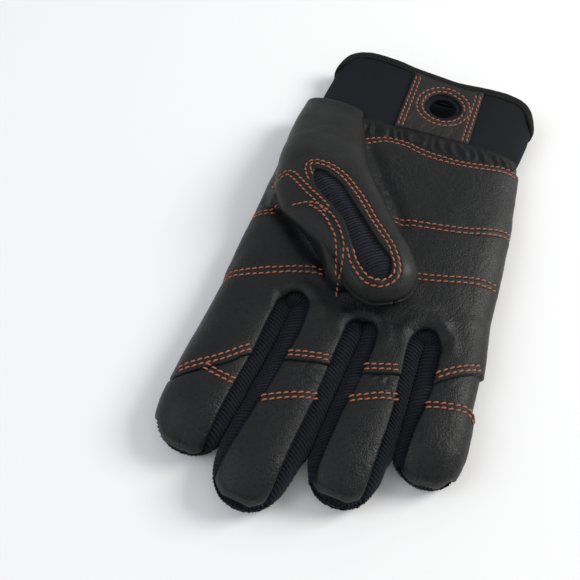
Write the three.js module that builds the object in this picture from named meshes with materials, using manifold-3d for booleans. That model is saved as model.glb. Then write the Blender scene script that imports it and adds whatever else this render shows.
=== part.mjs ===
// A right-hand climbing and belay glove, lying on its back with the palm up and the thumb folded over it.
// Leather palm, finger fronts and thumb are sewn to knitted finger walls and a knitted back, with a neoprene
// cuff.
// Millimetres. +Z is up, the fingers point along -Y, the cuff along +Y and the thumb side is -X.
import * as THREE from "three";
import { mergeVertices } from "three/addons/utils/BufferGeometryUtils.js";
import Module from "manifold-3d";

// Driving sizes of the hand.
const palmWidth = 112; // across the knuckles, lying flat
const palmLength = 108; // from the crotch of the fingers to the wrist seam
const palmThickness = 17.5; // of the palm as it lies, slightly filled out
const fingerLength = 86; // of the middle finger, from the crotch line
const fingerThickness = 16;
const thumbWidth = 30;
const thumbThickness = 14;
const webWidth = 18; // of the fold of leather between thumb and palm
const webThickness = 14;
const cuffLength = 50; // from the wrist seam to the highest point of the bound edge
const cuffWidth = 107;
const cuffThickness = 15;

// Walls, seams and clearances.
const leatherWall = 1.4;
const knitWall = 1.5;
const backSeamHeight = 4; // height over the table of the seam between the knitted back and the rest
const overlayWall = 1.2; // second leather layer on the palm and the fingertips
const overlayHem = 3.5; // how far above the back seam that layer ends
const neopreneWall = 2.4;
const bindingWidth = 4.6;
const bindingWall = 0.7; // how far the binding tape stands proud of the cuff
const seamGap = 0.3; // between pieces that meet edge to edge
const layerGap = 0.3; // between pieces that lie on each other
const tipRim = 1.8; // knit that shows round a leather fingertip

// The reinforced clip-in hole on the cuff.
const patchWidth = 35;
const patchWall = 1.2;
const patchHoleRadius = 9.2; // in the leather patch
const clipHoleRadius = 6.8; // in the neoprene under it
const patchX = 8.5; // from the middle of the hand
const clipHoleFromWrist = 21.5;

// The knitted window in the thumb.
const windowWidth = 14;
const windowHem = 2.5; // how far the knit reaches under the leather round the window

// The gathered band at the wrist.
const gatherWidth = 9.5;
const gatherWall = 1.2;
const gatherHeight = 1.4; // of one gather over the band
const gatherPitch = 6.5;

// How round a section is: powers of its sides, its crown and its sole, and where it is widest, as a share of
// its height.
const palmRound = { side: 5, crown: 2.2, sole: 4.5 };
const fingerRound = { side: 2.6, crown: 2.2, sole: 4.5 };
const thumbRound = { side: 2.6, crown: 2.2, sole: 2.6 };
const bellyShare = 0.42;

const holeSegments = 24;
const palmPoints = 24; // around one section of the palm
const fingerPoints = 16;
const thumbPoints = 16;

// Sections of the palm. along: share of palmLength, from the crotch line up. left and right: share of half
// of palmWidth. height: share of palmThickness.
const palmSections = [
  { along: -0.045, left: -0.9, right: 0.9, height: 0.34 },
  { along: -0.03, left: -0.95, right: 0.95, height: 0.66 },
  { along: 0.0, left: -1.0, right: 0.985, height: 0.9 },
  { along: 0.1, left: -1.005, right: 0.985, height: 1.0 },
  { along: 0.3, left: -1.01, right: 0.985, height: 1.03 },
  { along: 0.55, left: -1.015, right: 0.98, height: 1.03 },
  { along: 0.8, left: -1.02, right: 0.95, height: 0.97 },
  { along: 1.0, left: -0.97, right: 0.925, height: 0.88 },
];

// The four fingers. root and tip: place of the middle line at the crotch line and at the tip, and width, all
// as shares of palmWidth. length: share of fingerLength. full: share of fingerThickness.
// frontLeft and frontRight: edges of the leather front as shares of half the finger's width, and wraps where
// it goes round the side. slotPast: how far past the crotch line the slot on its right begins, share of
// palmLength. palmEnd: where the palm's second layer ends. tipStart: where the fingertip's begins. Both are
// given at the left and at the right of the finger, as shares of its length.
const wraps = 3;
const fingers = [
  { name: "index", root: -0.359, tip: -0.386, width: 0.27, length: 0.875, full: 1.0, frontLeft: -wraps,
    frontRight: 0.71, slotPast: 0.0, palmEnd: [0.72, 0.41], tipStart: [0.62, 0.64] },
  { name: "middle", root: -0.064, tip: -0.142, width: 0.27, length: 1.02, full: 1.03, frontLeft: -0.6,
    frontRight: 0.66, slotPast: -0.026, palmEnd: [0.34, 0.3], tipStart: [0.56, 0.46] },
  { name: "ring", root: 0.182, tip: 0.154, width: 0.25, length: 0.875, full: 1.0, frontLeft: -0.56,
    frontRight: 0.63, slotPast: 0.01, palmEnd: [0.34, 0.29], tipStart: [0.49, 0.4] },
  { name: "little", root: 0.4, tip: 0.412, width: 0.224, length: 0.67, full: 0.94, frontLeft: -0.58,
    frontRight: wraps, palmEnd: [0.36, 0.2], tipStart: [0.54, 0.5] },
];

// Sections of one finger. along: share of its length from the crotch line, less than 0 inside the palm.
// width and height: shares of its own width and thickness.
const fingerSections = [
  { along: -0.24, width: 0.9, height: 1.0 },
  { along: 0.0, width: 0.97, height: 1.03 },
  { along: 0.3, width: 1.0, height: 1.0 },
  { along: 0.6, width: 1.0, height: 1.0 },
  { along: 0.8, width: 0.95, height: 0.97 },
  { along: 0.91, width: 0.84, height: 0.88 },
  { along: 0.97, width: 0.66, height: 0.74 },
  { along: 1.0, width: 0.36, height: 0.5 },
];

// Sections of the thumb along its folded path, from the wrist. x: share of palmWidth. y: share of
// palmLength. width: share of thumbWidth. rise: underside over the table, share of palmThickness. height:
// share of thumbThickness.
const thumbSections = [
  { along: 0.0, x: -0.385, y: 1.03, width: 0.94, rise: 0.42, height: 0.8 },
  { along: 0.15, x: -0.362, y: 0.875, width: 1.1, rise: 0.52, height: 1.0 },
  { along: 0.3, x: -0.32, y: 0.715, width: 1.18, rise: 0.72, height: 1.1 },
  { along: 0.45, x: -0.25, y: 0.55, width: 1.12, rise: 1.0, height: 1.06 },
  { along: 0.58, x: -0.155, y: 0.41, width: 1.04, rise: 1.16, height: 1.0 },
  { along: 0.75, x: -0.035, y: 0.255, width: 1.0, rise: 1.18, height: 1.0 },
  { along: 0.87, x: 0.055, y: 0.145, width: 0.98, rise: 1.18, height: 0.96 },
  { along: 0.94, x: 0.1, y: 0.09, width: 0.86, rise: 1.18, height: 0.86 },
  { along: 0.98, x: 0.125, y: 0.058, width: 0.6, rise: 1.22, height: 0.62 },
  { along: 1.0, x: 0.138, y: 0.04, width: 0.26, rise: 1.3, height: 0.3 },
];

// Sections of the fold in the thumb's crotch, with the thumb's columns, for webWidth and webThickness.
const webSections = [
  { along: 0.0, x: -0.49, y: 0.435, width: 0.5, rise: 0.3, height: 0.7 },
  { along: 0.15, x: -0.43, y: 0.425, width: 0.92, rise: 0.4, height: 0.98 },
  { along: 0.35, x: -0.33, y: 0.385, width: 1.1, rise: 0.62, height: 1.02 },
  { along: 0.55, x: -0.225, y: 0.29, width: 1.1, rise: 0.8, height: 1.0 },
  { along: 0.75, x: -0.135, y: 0.18, width: 1.0, rise: 0.92, height: 0.94 },
  { along: 0.92, x: -0.08, y: 0.085, width: 0.8, rise: 1.0, height: 0.8 },
  { along: 1.0, x: -0.06, y: 0.045, width: 0.4, rise: 1.1, height: 0.5 },
];

// The window in the thumb. along: share of the thumb's path. offset and width: the window's middle from the
// thumb's, and its width there, shares of windowWidth.
const windowSections = [
  { along: 0.425, offset: -0.1, width: 0.16 },
  { along: 0.45, offset: -0.1, width: 0.48 },
  { along: 0.52, offset: -0.1, width: 0.72 },
  { along: 0.62, offset: -0.1, width: 0.92 },
  { along: 0.74, offset: -0.1, width: 1.0 },
  { along: 0.84, offset: -0.08, width: 1.0 },
  { along: 0.89, offset: -0.06, width: 0.78 },
  { along: 0.915, offset: -0.04, width: 0.3 },
];

// Sections of the cuff from the wrist seam. along: share of cuffLength. x and width: shares of cuffWidth.
// height: share of cuffThickness.
const cuffSections = [
  { along: 0.0, x: -0.014, width: 0.985, height: 1.0 },
  { along: 0.4, x: 0.004, width: 0.995, height: 0.98 },
  { along: 1.0, x: 0.014, width: 1.01, height: 1.05 },
];

// The cuff's bound edge from left to right. x: share of half of cuffWidth. drop: how far the edge lies below
// its highest point, share of cuffLength.
const cuffEdge = [
  { x: -1.1, drop: 0.42 },
  { x: -0.985, drop: 0.2 },
  { x: -0.93, drop: 0.07 },
  { x: -0.84, drop: 0.015 },
  { x: -0.7, drop: 0.0 },
  { x: -0.45, drop: 0.03 },
  { x: -0.2, drop: 0.09 },
  { x: 0.15, drop: 0.155 },
  { x: 0.45, drop: 0.15 },
  { x: 0.7, drop: 0.15 },
  { x: 0.86, drop: 0.18 },
  { x: 0.96, drop: 0.27 },
  { x: 1.02, drop: 0.42 },
  { x: 1.1, drop: 0.7 },
];

const overlayTop = palmLength - gatherWidth - 2 * seamGap; // where the palm's second layer ends at the wrist
const gatherEnds = [-0.25, 0.42]; // of the gathered band, shares of palmWidth
const farOut = 2 * (palmWidth + palmLength); // for cuts that pass right through
const pastTips = -1.3 * fingerLength; // where plan cuts end, clear of every fingertip
const pastSide = 1.3; // share of half a finger's width that takes a cut right past its side
const nudge = 0.01; // step along a table for the slope of a curve
const thinnest = 0.4; // half width left where a hollow closes at a tip
const crumbVolume = 1; // of what a cut can leave where three faces meet, in cubic millimetres

const wasm = await Module();
wasm.setup();

// One column of a table as a smooth function of another.
function column(rows, name, key = "along") {
  const row = (i) => rows[THREE.MathUtils.clamp(i, 0, rows.length - 1)];
  const slope = (i) => (row(i + 1)[name] - row(i - 1)[name]) / (row(i + 1)[key] - row(i - 1)[key]);
  return (place) => {
    let i = 0;
    while (i < rows.length - 2 && place > rows[i + 1][key]) i += 1;
    const span = rows[i + 1][key] - rows[i][key];
    const t = THREE.MathUtils.clamp((place - rows[i][key]) / span, 0, 1);
    const ease = 3 * t ** 2 - 2 * t ** 3;
    const away = (t ** 3 - 2 * t ** 2 + t) * span * slope(i);
    const home = (t ** 3 - t ** 2) * span * slope(i + 1);
    return rows[i][name] * (1 - ease) + rows[i + 1][name] * ease + away + home;
  };
}

const signedPower = (value, power) => Math.sign(value) * Math.abs(value) ** power;

// One section across the direction (dx, dy): a loaf from low up to low + high, grown all round.
function loafRing({ x, y, dx, dy, halfWidth, low, high, points, grow, round }) {
  const belly = low + bellyShare * high;
  return Array.from({ length: points }, (_, i) => {
    const angle = (2 * Math.PI * (i + 0.5)) / points;
    const lateral = Math.max(halfWidth + grow, thinnest) * signedPower(Math.cos(angle), 2 / round.side);
    const upper = Math.sin(angle) > 0;
    const reach = Math.max((upper ? low + high - belly : belly - low) + grow, thinnest);
    const z = belly + reach * signedPower(Math.sin(angle), 2 / (upper ? round.crown : round.sole));
    return new THREE.Vector3(x - dy * lateral, y + dx * lateral, z);
  });
}

// A closed mesh through rings that follow each other along their direction, with flat ends.
function loft(rings) {
  const points = rings[0].length;
  const last = rings.length - 1;
  const ends = [rings[0], rings[last]].map((ring) => {
    const sum = ring.reduce((total, p) => total.add(p), new THREE.Vector3());
    return sum.divideScalar(points);
  });
  const position = [...rings.flat(), ...ends].flatMap((p) => [p.x, p.y, p.z]);
  const firstEnd = rings.length * points;
  const index = [];
  for (let i = 0; i < points; i += 1) {
    const j = (i + 1) % points;
    for (let a = 0; a < last * points; a += points) {
      const b = a + points;
      index.push(a + i, a + j, b + j, a + i, b + j, b + i);
    }
    index.push(j, i, firstEnd, last * points + i, last * points + j, firstEnd + 1);
  }
  const geometry = new THREE.BufferGeometry();
  geometry.setAttribute("position", new THREE.Float32BufferAttribute(position, 3));
  geometry.setIndex(index);
  return geometry;
}

// A three.js geometry as a solid to cut and join.
function solid(geometry) {
  geometry.deleteAttribute("normal");
  geometry.deleteAttribute("uv");
  const merged = mergeVertices(geometry, 1e-4);
  const vertProperties = new Float32Array(merged.attributes.position.array);
  const triVerts = new Uint32Array(merged.index.array);
  return new wasm.Manifold(new wasm.Mesh({ numProp: 3, vertProperties, triVerts }));
}

const union = (solids) => solids.reduce((sum, next) => sum.add(next));
const withoutCrumbs = (made) => union(made.decompose().filter((piece) => piece.volume() > crumbVolume));
const shell = (form, outer, inner) => form(outer).subtract(form(inner));

// A plan outline of [x, y] points grown all round, or shrunk when by is less than 0.
function grown(outline, by) {
  const sharpest = 0.5; // keeps the point of a sharp corner from running away
  const at = (i) => new THREE.Vector2(...outline[(i + outline.length) % outline.length]);
  const turn = THREE.ShapeUtils.area(outline.map((_, i) => at(i))) > 0 ? 1 : -1;
  const outward = (from, to) => new THREE.Vector2(to.y - from.y, from.x - to.x).setLength(turn);
  return outline.map((_, i) => {
    const before = outward(at(i - 1), at(i));
    const out = before.clone().add(outward(at(i), at(i + 1))).normalize();
    const moved = at(i).addScaledVector(out, by / Math.max(out.dot(before), sharpest));
    return [moved.x, moved.y];
  });
}

// A plan outline of [x, y] points drawn up from low to high.
function prism(outline, low = -farOut, high = farOut) {
  const shape = new THREE.Shape(outline.map(([x, y]) => new THREE.Vector2(x, y)));
  const geometry = new THREE.ExtrudeGeometry(shape, { depth: high - low, bevelEnabled: false });
  return solid(geometry.translate(0, 0, low));
}

function above(z) {
  return prism([[-farOut, -farOut], [farOut, -farOut], [farOut, farOut], [-farOut, farOut]], z, farOut);
}

function drum(x, y, radius, low) {
  const geometry = new THREE.CylinderGeometry(radius, radius, farOut, holeSegments);
  return solid(geometry.rotateX(Math.PI / 2).translate(x, y, low + farOut / 2));
}

// The palm, grown all round. reach: how far it is drawn out past the wrist seam.
function palmForm(grow, reach = 0) {
  const rings = palmSections.map((row, i) =>
    loafRing({
      x: ((row.left + row.right) * palmWidth) / 4,
      y: row.along * palmLength - (i === 0 ? grow : 0),
      dx: 0,
      dy: 1,
      halfWidth: ((row.right - row.left) * palmWidth) / 4,
      low: 0,
      high: row.height * palmThickness,
      points: palmPoints,
      grow,
      round: palmRound,
    }),
  );
  const wrist = rings[rings.length - 1];
  if (reach > 0) rings.push(wrist.map((p) => new THREE.Vector3(p.x, p.y + reach, p.z)));
  return solid(loft(rings));
}

// A finger's middle line, direction, half width and height at a share of its length.
function fingerAt(finger, along) {
  const length = finger.length * fingerLength;
  const lean = (finger.tip - finger.root) * palmWidth;
  return {
    x: finger.root * palmWidth + lean * along,
    y: -length * along,
    dx: lean / Math.hypot(lean, length),
    dy: -length / Math.hypot(lean, length),
    halfWidth: (column(fingerSections, "width")(along) * finger.width * palmWidth) / 2,
    high: column(fingerSections, "height")(along) * finger.full * fingerThickness,
  };
}

function fingerForm(finger, grow) {
  const tipLift = 0.2; // share of the height lost towards the tip by which its underside leaves the table
  const rings = fingerSections.map(({ along }, i) => {
    const at = fingerAt(finger, along);
    const lost = along > 0.5 ? Math.max(finger.full * fingerThickness - at.high, 0) : 0;
    const push = i === fingerSections.length - 1 ? grow : 0;
    const place = { x: at.x + at.dx * push, y: at.y + at.dy * push, low: tipLift * lost };
    return loafRing({ ...at, ...place, points: fingerPoints, grow, round: fingerRound });
  });
  return solid(loft(rings));
}

const handForm = (grow) => union([palmForm(grow), ...fingers.map((finger) => fingerForm(finger, grow))]);

// The middle line of a folded tube at a share of its length, with its direction.
function pathAt(sections, along) {
  const x = column(sections, "x");
  const y = column(sections, "y");
  const way = new THREE.Vector2(
    (x(along + nudge) - x(along - nudge)) * palmWidth,
    (y(along + nudge) - y(along - nudge)) * palmLength,
  ).normalize();
  return { x: x(along) * palmWidth, y: y(along) * palmLength, dx: way.x, dy: way.y };
}

function foldedForm(sections, width, thickness, grow) {
  const rings = sections.map((row, i) => {
    const at = pathAt(sections, row.along);
    const push = (i === sections.length - 1 ? grow : 0) - (i === 0 ? grow : 0);
    return loafRing({
      ...at,
      x: at.x + at.dx * push,
      y: at.y + at.dy * push,
      halfWidth: (row.width * width) / 2,
      low: row.rise * palmThickness,
      high: row.height * thickness,
      points: thumbPoints,
      grow,
      round: thumbRound,
    });
  });
  return solid(loft(rings));
}

const thumbForm = (grow) => foldedForm(thumbSections, thumbWidth, thumbThickness, grow);
const webForm = (grow) => foldedForm(webSections, webWidth, webThickness, grow);

// The cuff's tube, grown all round and open at both ends when it is cut out of itself.
function cuffForm(grow) {
  const rings = cuffSections.map((row, i) =>
    loafRing({
      x: row.x * cuffWidth,
      y: palmLength + row.along * cuffLength + (i === 0 ? Math.min(grow, 0) : 0),
      dx: 0,
      dy: 1,
      halfWidth: (row.width * cuffWidth) / 2,
      low: bindingWall,
      high: row.height * cuffThickness,
      points: palmPoints,
      grow,
      round: palmRound,
    }),
  );
  return solid(loft(rings));
}

// Plan of the cuff from the wrist seam up to its bound edge, with the edge lowered by inset.
function cuffPlan(inset) {
  const drop = column(cuffEdge, "drop", "x");
  const half = cuffWidth / 2;
  const steps = 22;
  const edge = Array.from({ length: steps + 1 }, (_, i) => {
    const x = cuffEdge[0].x + ((cuffEdge[cuffEdge.length - 1].x - cuffEdge[0].x) * i) / steps;
    const slope = ((drop(x + nudge) - drop(x - nudge)) * cuffLength) / (2 * nudge * half);
    const leanIn = inset / Math.hypot(1, slope);
    return [x * half - slope * leanIn, palmLength + cuffLength * (1 - drop(x)) - leanIn];
  });
  return [[edge[0][0], palmLength + seamGap], ...edge, [edge[steps][0], palmLength + seamGap]];
}

// One edge of a finger's leather front, from along = start to the tip. side: -1 left or 1 right.
function frontEdge(finger, side, start) {
  const share = side < 0 ? finger.frontLeft : finger.frontRight;
  const body = (Math.abs(share) * finger.width * palmWidth) / 2;
  const steps = 8;
  return Array.from({ length: steps + 1 }, (_, i) => {
    const at = fingerAt(finger, start + (1 - start) * Math.sin((i / steps) * (Math.PI / 2)));
    const lateral = i < steps ? side * Math.min(body, Math.max(at.halfWidth - tipRim, 0)) : 0;
    return [at.x - at.dy * lateral, at.y + at.dx * lateral + (i === steps ? tipRim : 0)];
  });
}

// Plan of the knit between a finger and the next: a round head, then out between them and round both tips.
function slotPlan(i) {
  const headLength = 0.12; // share of fingerLength over which the head rounds off
  const [left, right] = [fingers[i], fingers[i + 1]];
  const down = frontEdge(left, 1, headLength / left.length);
  const up = frontEdge(right, -1, headLength / right.length);
  const headSteps = 6;
  const rise = left.slotPast * palmLength - (down[0][1] + up[0][1]) / 2;
  const head = Array.from({ length: headSteps - 1 }, (_, k) => {
    const angle = (Math.PI * (k + 1)) / headSteps;
    const across = (1 + Math.cos(angle)) / 2;
    const [x, y] = [0, 1].map((axis) => THREE.MathUtils.lerp(down[0][axis], up[0][axis], across));
    return [x, y + rise * Math.sin(angle)];
  });
  const out = [down.at(-1), up.at(-1)].map(([x]) => [x, pastTips]);
  return [...down, ...out, ...up.reverse(), ...head];
}

const slots = (grow) => fingers.slice(1).map((_, i) => prism(grown(slotPlan(i), grow)));

// Plan line across the fingers, through each one's left and right edge. pick: the two shares for a finger.
function seamLine(row, pick) {
  return row.flatMap((finger) =>
    [-1, 1].map((side) => {
      const along = pick(finger)[side < 0 ? 0 : 1];
      const at = fingerAt(finger, along);
      const outside = Math.abs(side < 0 ? finger.frontLeft : finger.frontRight) === wraps;
      const lateral = side * at.halfWidth * (outside ? pastSide : 1);
      return [at.x - at.dy * lateral, at.y + at.dx * lateral];
    }),
  );
}

// Height of the palm's top over the table.
function palmTop(x, y) {
  const along = y / palmLength;
  const left = (column(palmSections, "left")(along) * palmWidth) / 2;
  const right = (column(palmSections, "right")(along) * palmWidth) / 2;
  const high = column(palmSections, "height")(along) * palmThickness;
  const lateral = Math.min(Math.abs((2 * x - left - right) / (right - left)), 1);
  const arch = (1 - lateral ** palmRound.side) ** (1 / palmRound.crown);
  return high * (bellyShare + (1 - bellyShare) * arch);
}

// The gathered band: a strip on the palm's top whose height rises and falls with each gather.
function gatherBand() {
  const [start, end] = gatherEnds.map((share) => share * palmWidth);
  const count = 2 * Math.round((end - start) / gatherPitch);
  const back = palmLength - seamGap;
  const front = back - gatherWidth;
  const rings = Array.from({ length: count + 1 }, (_, i) => {
    const x = start + ((end - start) * i) / count;
    const wave = i % 2 ? gatherHeight : 0;
    const low = Math.max(palmTop(x, front), palmTop(x, back)) + layerGap;
    const high = low + gatherWall + wave;
    const inset = gatherWidth / 3;
    return [
      new THREE.Vector3(x, back, low),
      new THREE.Vector3(x, back, low + gatherWall),
      new THREE.Vector3(x, back - inset, high),
      new THREE.Vector3(x, front + inset, high),
      new THREE.Vector3(x, front, low + gatherWall),
      new THREE.Vector3(x, front, low),
    ];
  });
  return solid(loft(rings));
}

// Plan of the thumb's window.
const windowPlan = [-1, 1].flatMap((side) => {
  const edge = windowSections.map((row) => {
    const at = pathAt(thumbSections, row.along);
    const lateral = windowWidth * (row.offset + (side * row.width) / 2);
    return [at.x - at.dy * lateral, at.y + at.dx * lateral];
  });
  return side < 0 ? edge : edge.reverse();
});

const patchPlan = (() => {
  const half = patchWidth / 2;
  const low = palmLength + 2 * seamGap;
  const edge = cuffPlan(bindingWidth + seamGap).filter(([x]) => Math.abs(x - patchX) < half);
  const [left, right] = [patchX - half, patchX + half];
  return [[left, low], [left, edge[0][1]], ...edge, [right, edge.at(-1)[1]], [right, low]];
})();

const materials = {
  leather: { color: 0x262624, roughness: 0.5, metalness: 0 },
  knit: { color: 0x101114, roughness: 0.95, metalness: 0 },
  neoprene: { color: 0x15161a, roughness: 0.9, metalness: 0 },
  binding: { color: 0x1c1c1b, roughness: 0.85, metalness: 0 },
};

const glove = new THREE.Group();

function add(name, made, material) {
  const { vertProperties, triVerts } = withoutCrumbs(made).getMesh();
  const geometry = new THREE.BufferGeometry();
  geometry.setAttribute("position", new THREE.BufferAttribute(vertProperties, 3));
  geometry.setIndex(new THREE.BufferAttribute(triVerts, 1));
  const mesh = new THREE.Mesh(geometry, new THREE.MeshStandardMaterial(materials[material]));
  mesh.name = name;
  glove.add(mesh);
}

const overlayOuter = layerGap + overlayWall;
const thumbHollow = thumbForm(-leatherWall);
const handShell = shell(handForm, 0, -leatherWall).subtract(palmForm(-leatherWall, leatherWall));
const upperShell = handShell.intersect(above(backSeamHeight));
const overlayShell = shell(handForm, overlayOuter, layerGap).intersect(above(backSeamHeight + overlayHem));
const slotCut = union(slots(seamGap / 2));

add("palm_leather", upperShell.subtract(slotCut).subtract(thumbHollow), "leather");
add("back_knit", handShell.subtract(above(backSeamHeight - seamGap)), "knit");
slots(-seamGap / 2).forEach((slot, i) => {
  add(fingers[i].name + "_" + fingers[i + 1].name + "_gusset", upperShell.intersect(slot), "knit");
});

const palmLayerPlan = prism([
  ...seamLine(fingers, (finger) => finger.palmEnd),
  [palmWidth, overlayTop],
  [-palmWidth, overlayTop],
]);
const palmLayer = overlayShell.intersect(palmLayerPlan).subtract(slotCut);
add("palm_overlay", palmLayer.subtract(thumbForm(seamGap)).subtract(webForm(seamGap)), "leather");

fingers.forEach((finger) => {
  const line = seamLine([finger], ({ tipStart }) => tipStart);
  const plan = prism([[line[0][0], pastTips], [line[1][0], pastTips], line[1], line[0]]);
  const tip = overlayShell.intersect(plan).subtract(slotCut);
  add(finger.name + "_tip_overlay", tip.subtract(palmLayerPlan), "leather");
});

const overHand = handForm(overlayOuter + seamGap).add(cuffForm(seamGap));
const windowPlace = windowSections[3].along;
const windowFloor = above(column(thumbSections, "rise")(windowPlace) * palmThickness + thumbThickness / 2);
const windowCut = prism(windowPlan).intersect(windowFloor);
add("thumb_leather", shell(thumbForm, 0, -leatherWall).subtract(overHand).subtract(windowCut), "leather");
const windowInner = -leatherWall - layerGap;
const knitLayer = shell(thumbForm, windowInner, windowInner - knitWall).intersect(windowFloor);
add("thumb_window_knit", knitLayer.intersect(prism(grown(windowPlan, windowHem))), "knit");
const webShell = shell(webForm, 0, -leatherWall);
add("thumb_web", webShell.subtract(overHand).subtract(thumbForm(seamGap)), "leather");

add("wrist_gather", gatherBand().subtract(thumbForm(seamGap)), "leather");

const cuffMiddle = above(cuffThickness / 2);
const clipHole = (radius) => drum(patchX, palmLength + clipHoleFromWrist, radius, cuffThickness / 2);
const cuffTube = shell(cuffForm, 0, -neopreneWall).intersect(prism(cuffPlan(bindingWidth + seamGap)));
add("cuff_band", cuffTube.subtract(clipHole(clipHoleRadius)), "neoprene");
const bindingTube = shell(cuffForm, bindingWall, -neopreneWall - bindingWall);
const bindingPlan = prism(cuffPlan(0)).subtract(prism(cuffPlan(bindingWidth)));
add("cuff_binding", bindingTube.intersect(bindingPlan), "binding");
const patchLayer = shell(cuffForm, layerGap + patchWall, layerGap).intersect(cuffMiddle);
add("clip_patch", patchLayer.intersect(prism(patchPlan)).subtract(clipHole(patchHoleRadius)), "leather");

// The origin is at the middle of the underside.
const middle = new THREE.Box3().setFromObject(glove);
glove.position.set(-(middle.min.x + middle.max.x) / 2, -(middle.min.y + middle.max.y) / 2, -middle.min.z);

export default glove;
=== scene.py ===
import math
import bmesh
import bpy
import numpy as np
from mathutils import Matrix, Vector
from mathutils.bvhtree import BVHTree


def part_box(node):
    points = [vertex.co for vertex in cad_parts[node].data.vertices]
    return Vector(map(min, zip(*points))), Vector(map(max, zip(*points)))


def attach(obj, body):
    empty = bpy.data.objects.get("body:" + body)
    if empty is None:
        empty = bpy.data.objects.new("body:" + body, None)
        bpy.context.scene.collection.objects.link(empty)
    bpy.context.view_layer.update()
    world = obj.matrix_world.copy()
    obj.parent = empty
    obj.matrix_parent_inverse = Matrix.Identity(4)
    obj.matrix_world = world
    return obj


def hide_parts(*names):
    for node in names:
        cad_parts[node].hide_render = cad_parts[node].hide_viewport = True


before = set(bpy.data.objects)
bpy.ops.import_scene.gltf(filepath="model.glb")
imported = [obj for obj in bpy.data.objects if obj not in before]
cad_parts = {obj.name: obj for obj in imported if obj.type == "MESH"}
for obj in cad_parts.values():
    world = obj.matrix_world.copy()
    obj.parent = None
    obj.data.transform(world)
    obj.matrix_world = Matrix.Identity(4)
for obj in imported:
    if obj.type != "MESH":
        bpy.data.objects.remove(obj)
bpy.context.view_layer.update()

# The glove is shaped in millimetres from the middle of the fingers' crotch line: fingers to -Y, cuff to +Y,
# thumb side -X. The patch's middle and the cuff's start give its place in the frame.
patchAside, cuffStart = 8.5, 108.3
bandLow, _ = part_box("cuff_band")
patchLow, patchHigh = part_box("clip_patch")
handOrigin = np.array([(patchLow.x + patchHigh.x) * 500 - patchAside, bandLow.y * 1000 - cuffStart, 0.0])


def hermite(table, col, place):  # one column of a table as a smooth function of its first column
    xs, ys = table[:, 0], table[:, col]
    last = len(xs) - 1
    before = np.maximum(np.arange(last + 1) - 1, 0)
    after = np.minimum(np.arange(last + 1) + 1, last)
    slopes = (ys[after] - ys[before]) / (xs[after] - xs[before])
    place = np.asarray(place, float)
    i = np.clip(np.searchsorted(xs, place, side="right") - 1, 0, last - 1)
    span = xs[i + 1] - xs[i]
    t = np.clip((place - xs[i]) / span, 0, 1)
    ease = 3 * t ** 2 - 2 * t ** 3
    away = (t ** 3 - 2 * t ** 2 + t) * span * slopes[i]
    home = (t ** 3 - t ** 2) * span * slopes[i + 1]
    return ys[i] * (1 - ease) + ys[i + 1] * ease + away + home


def smoothstep(low, high, value):
    t = np.clip((value - low) / (high - low), 0, 1)
    return t * t * (3 - 2 * t)


def smoothMax(a, b, radius):
    h = np.maximum(radius - np.abs(a - b), 0) / radius
    return np.maximum(a, b) + h * h * radius / 4


def crown(share, sharp, power):  # how high a rounded section stands at a share of the way out
    return np.clip(1 - share ** sharp, 0, 1) ** (1 / power)


def unit(vectors):
    return vectors / np.maximum(np.linalg.norm(vectors, axis=-1, keepdims=True), 1e-9)


def latticeHash(ix, iy, seed):  # the same scattered numbers on each run, -1 to 1
    h = (ix * 374761393 + iy * 668265263 + seed * 1442695041) & 0xFFFFFFFF
    h = ((h ^ (h >> 13)) * 1274126177) & 0xFFFFFFFF
    return ((h ^ (h >> 16)) & 0xFFFF) / 32768.0 - 1


def noise(x, y, size, seed):  # gradient noise, about -1 to 1, with lumps of that size in millimetres
    gx, gy = np.asarray(x, float) / size, np.asarray(y, float) / size
    ix, iy = np.floor(gx).astype(np.int64), np.floor(gy).astype(np.int64)
    total = np.zeros(np.broadcast(gx, gy).shape)
    for ox in (0, 1):
        for oy in (0, 1):
            dx, dy = gx - ix - ox, gy - iy - oy
            angle = latticeHash(ix + ox, iy + oy, seed) * math.pi
            wx, wy = 1 - np.abs(dx), 1 - np.abs(dy)
            weight = wx ** 3 * (wx * (wx * 6 - 15) + 10) * wy ** 3 * (wy * (wy * 6 - 15) + 10)
            total = total + (np.cos(angle) * dx + np.sin(angle) * dy) * weight
    return total * 1.5


def creases(x, y, size, stretch, degrees, seed):  # thin valleys, 0 to -1, stretched along a turn
    turn = math.radians(degrees)
    along = (x * math.cos(turn) + y * math.sin(turn)) / stretch
    across = -x * math.sin(turn) + y * math.cos(turn)
    wander = noise(along, across, size * 1.7, seed + 5) * size * 0.35
    return -np.clip(1 - 2.6 * np.abs(noise(along, across + wander, size, seed)), 0, 1) ** 1.5


def smoothLine(points, step, closed=False):  # a smooth curve through points, at even steps
    points = np.asarray(points, float)
    if closed:
        ring = np.vstack([points[-1:], points, points[:2]])
    else:
        ring = np.vstack([2 * points[0] - points[1], points, 2 * points[-1] - points[-2]])
    dense = []
    for i in range(1, len(ring) - 2):
        p0, p1, p2, p3 = ring[i - 1:i + 3]
        t = np.linspace(0, 1, 24, endpoint=False)[:, None]
        dense.append(0.5 * (2 * p1 + (p2 - p0) * t + (2 * p0 - 5 * p1 + 4 * p2 - p3) * t ** 2
                            + (3 * p1 - p0 - 3 * p2 + p3) * t ** 3))
    return evenly(np.vstack(dense + [ring[-2:-1]]), step)


def runOf(line):  # the length gone at each point of a line
    return np.concatenate([[0], np.cumsum(np.linalg.norm(np.diff(line, axis=0), axis=1))])


def atRun(line, run, place):  # points of a line where that much of its length is gone
    return np.stack([np.interp(place, run, line[:, k]) for k in range(line.shape[1])], axis=-1)


def evenly(line, step):  # a line at even steps of its length
    run = runOf(line)
    return atRun(line, run, np.linspace(0, run[-1], max(int(round(run[-1] / step)), 1) + 1))


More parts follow.
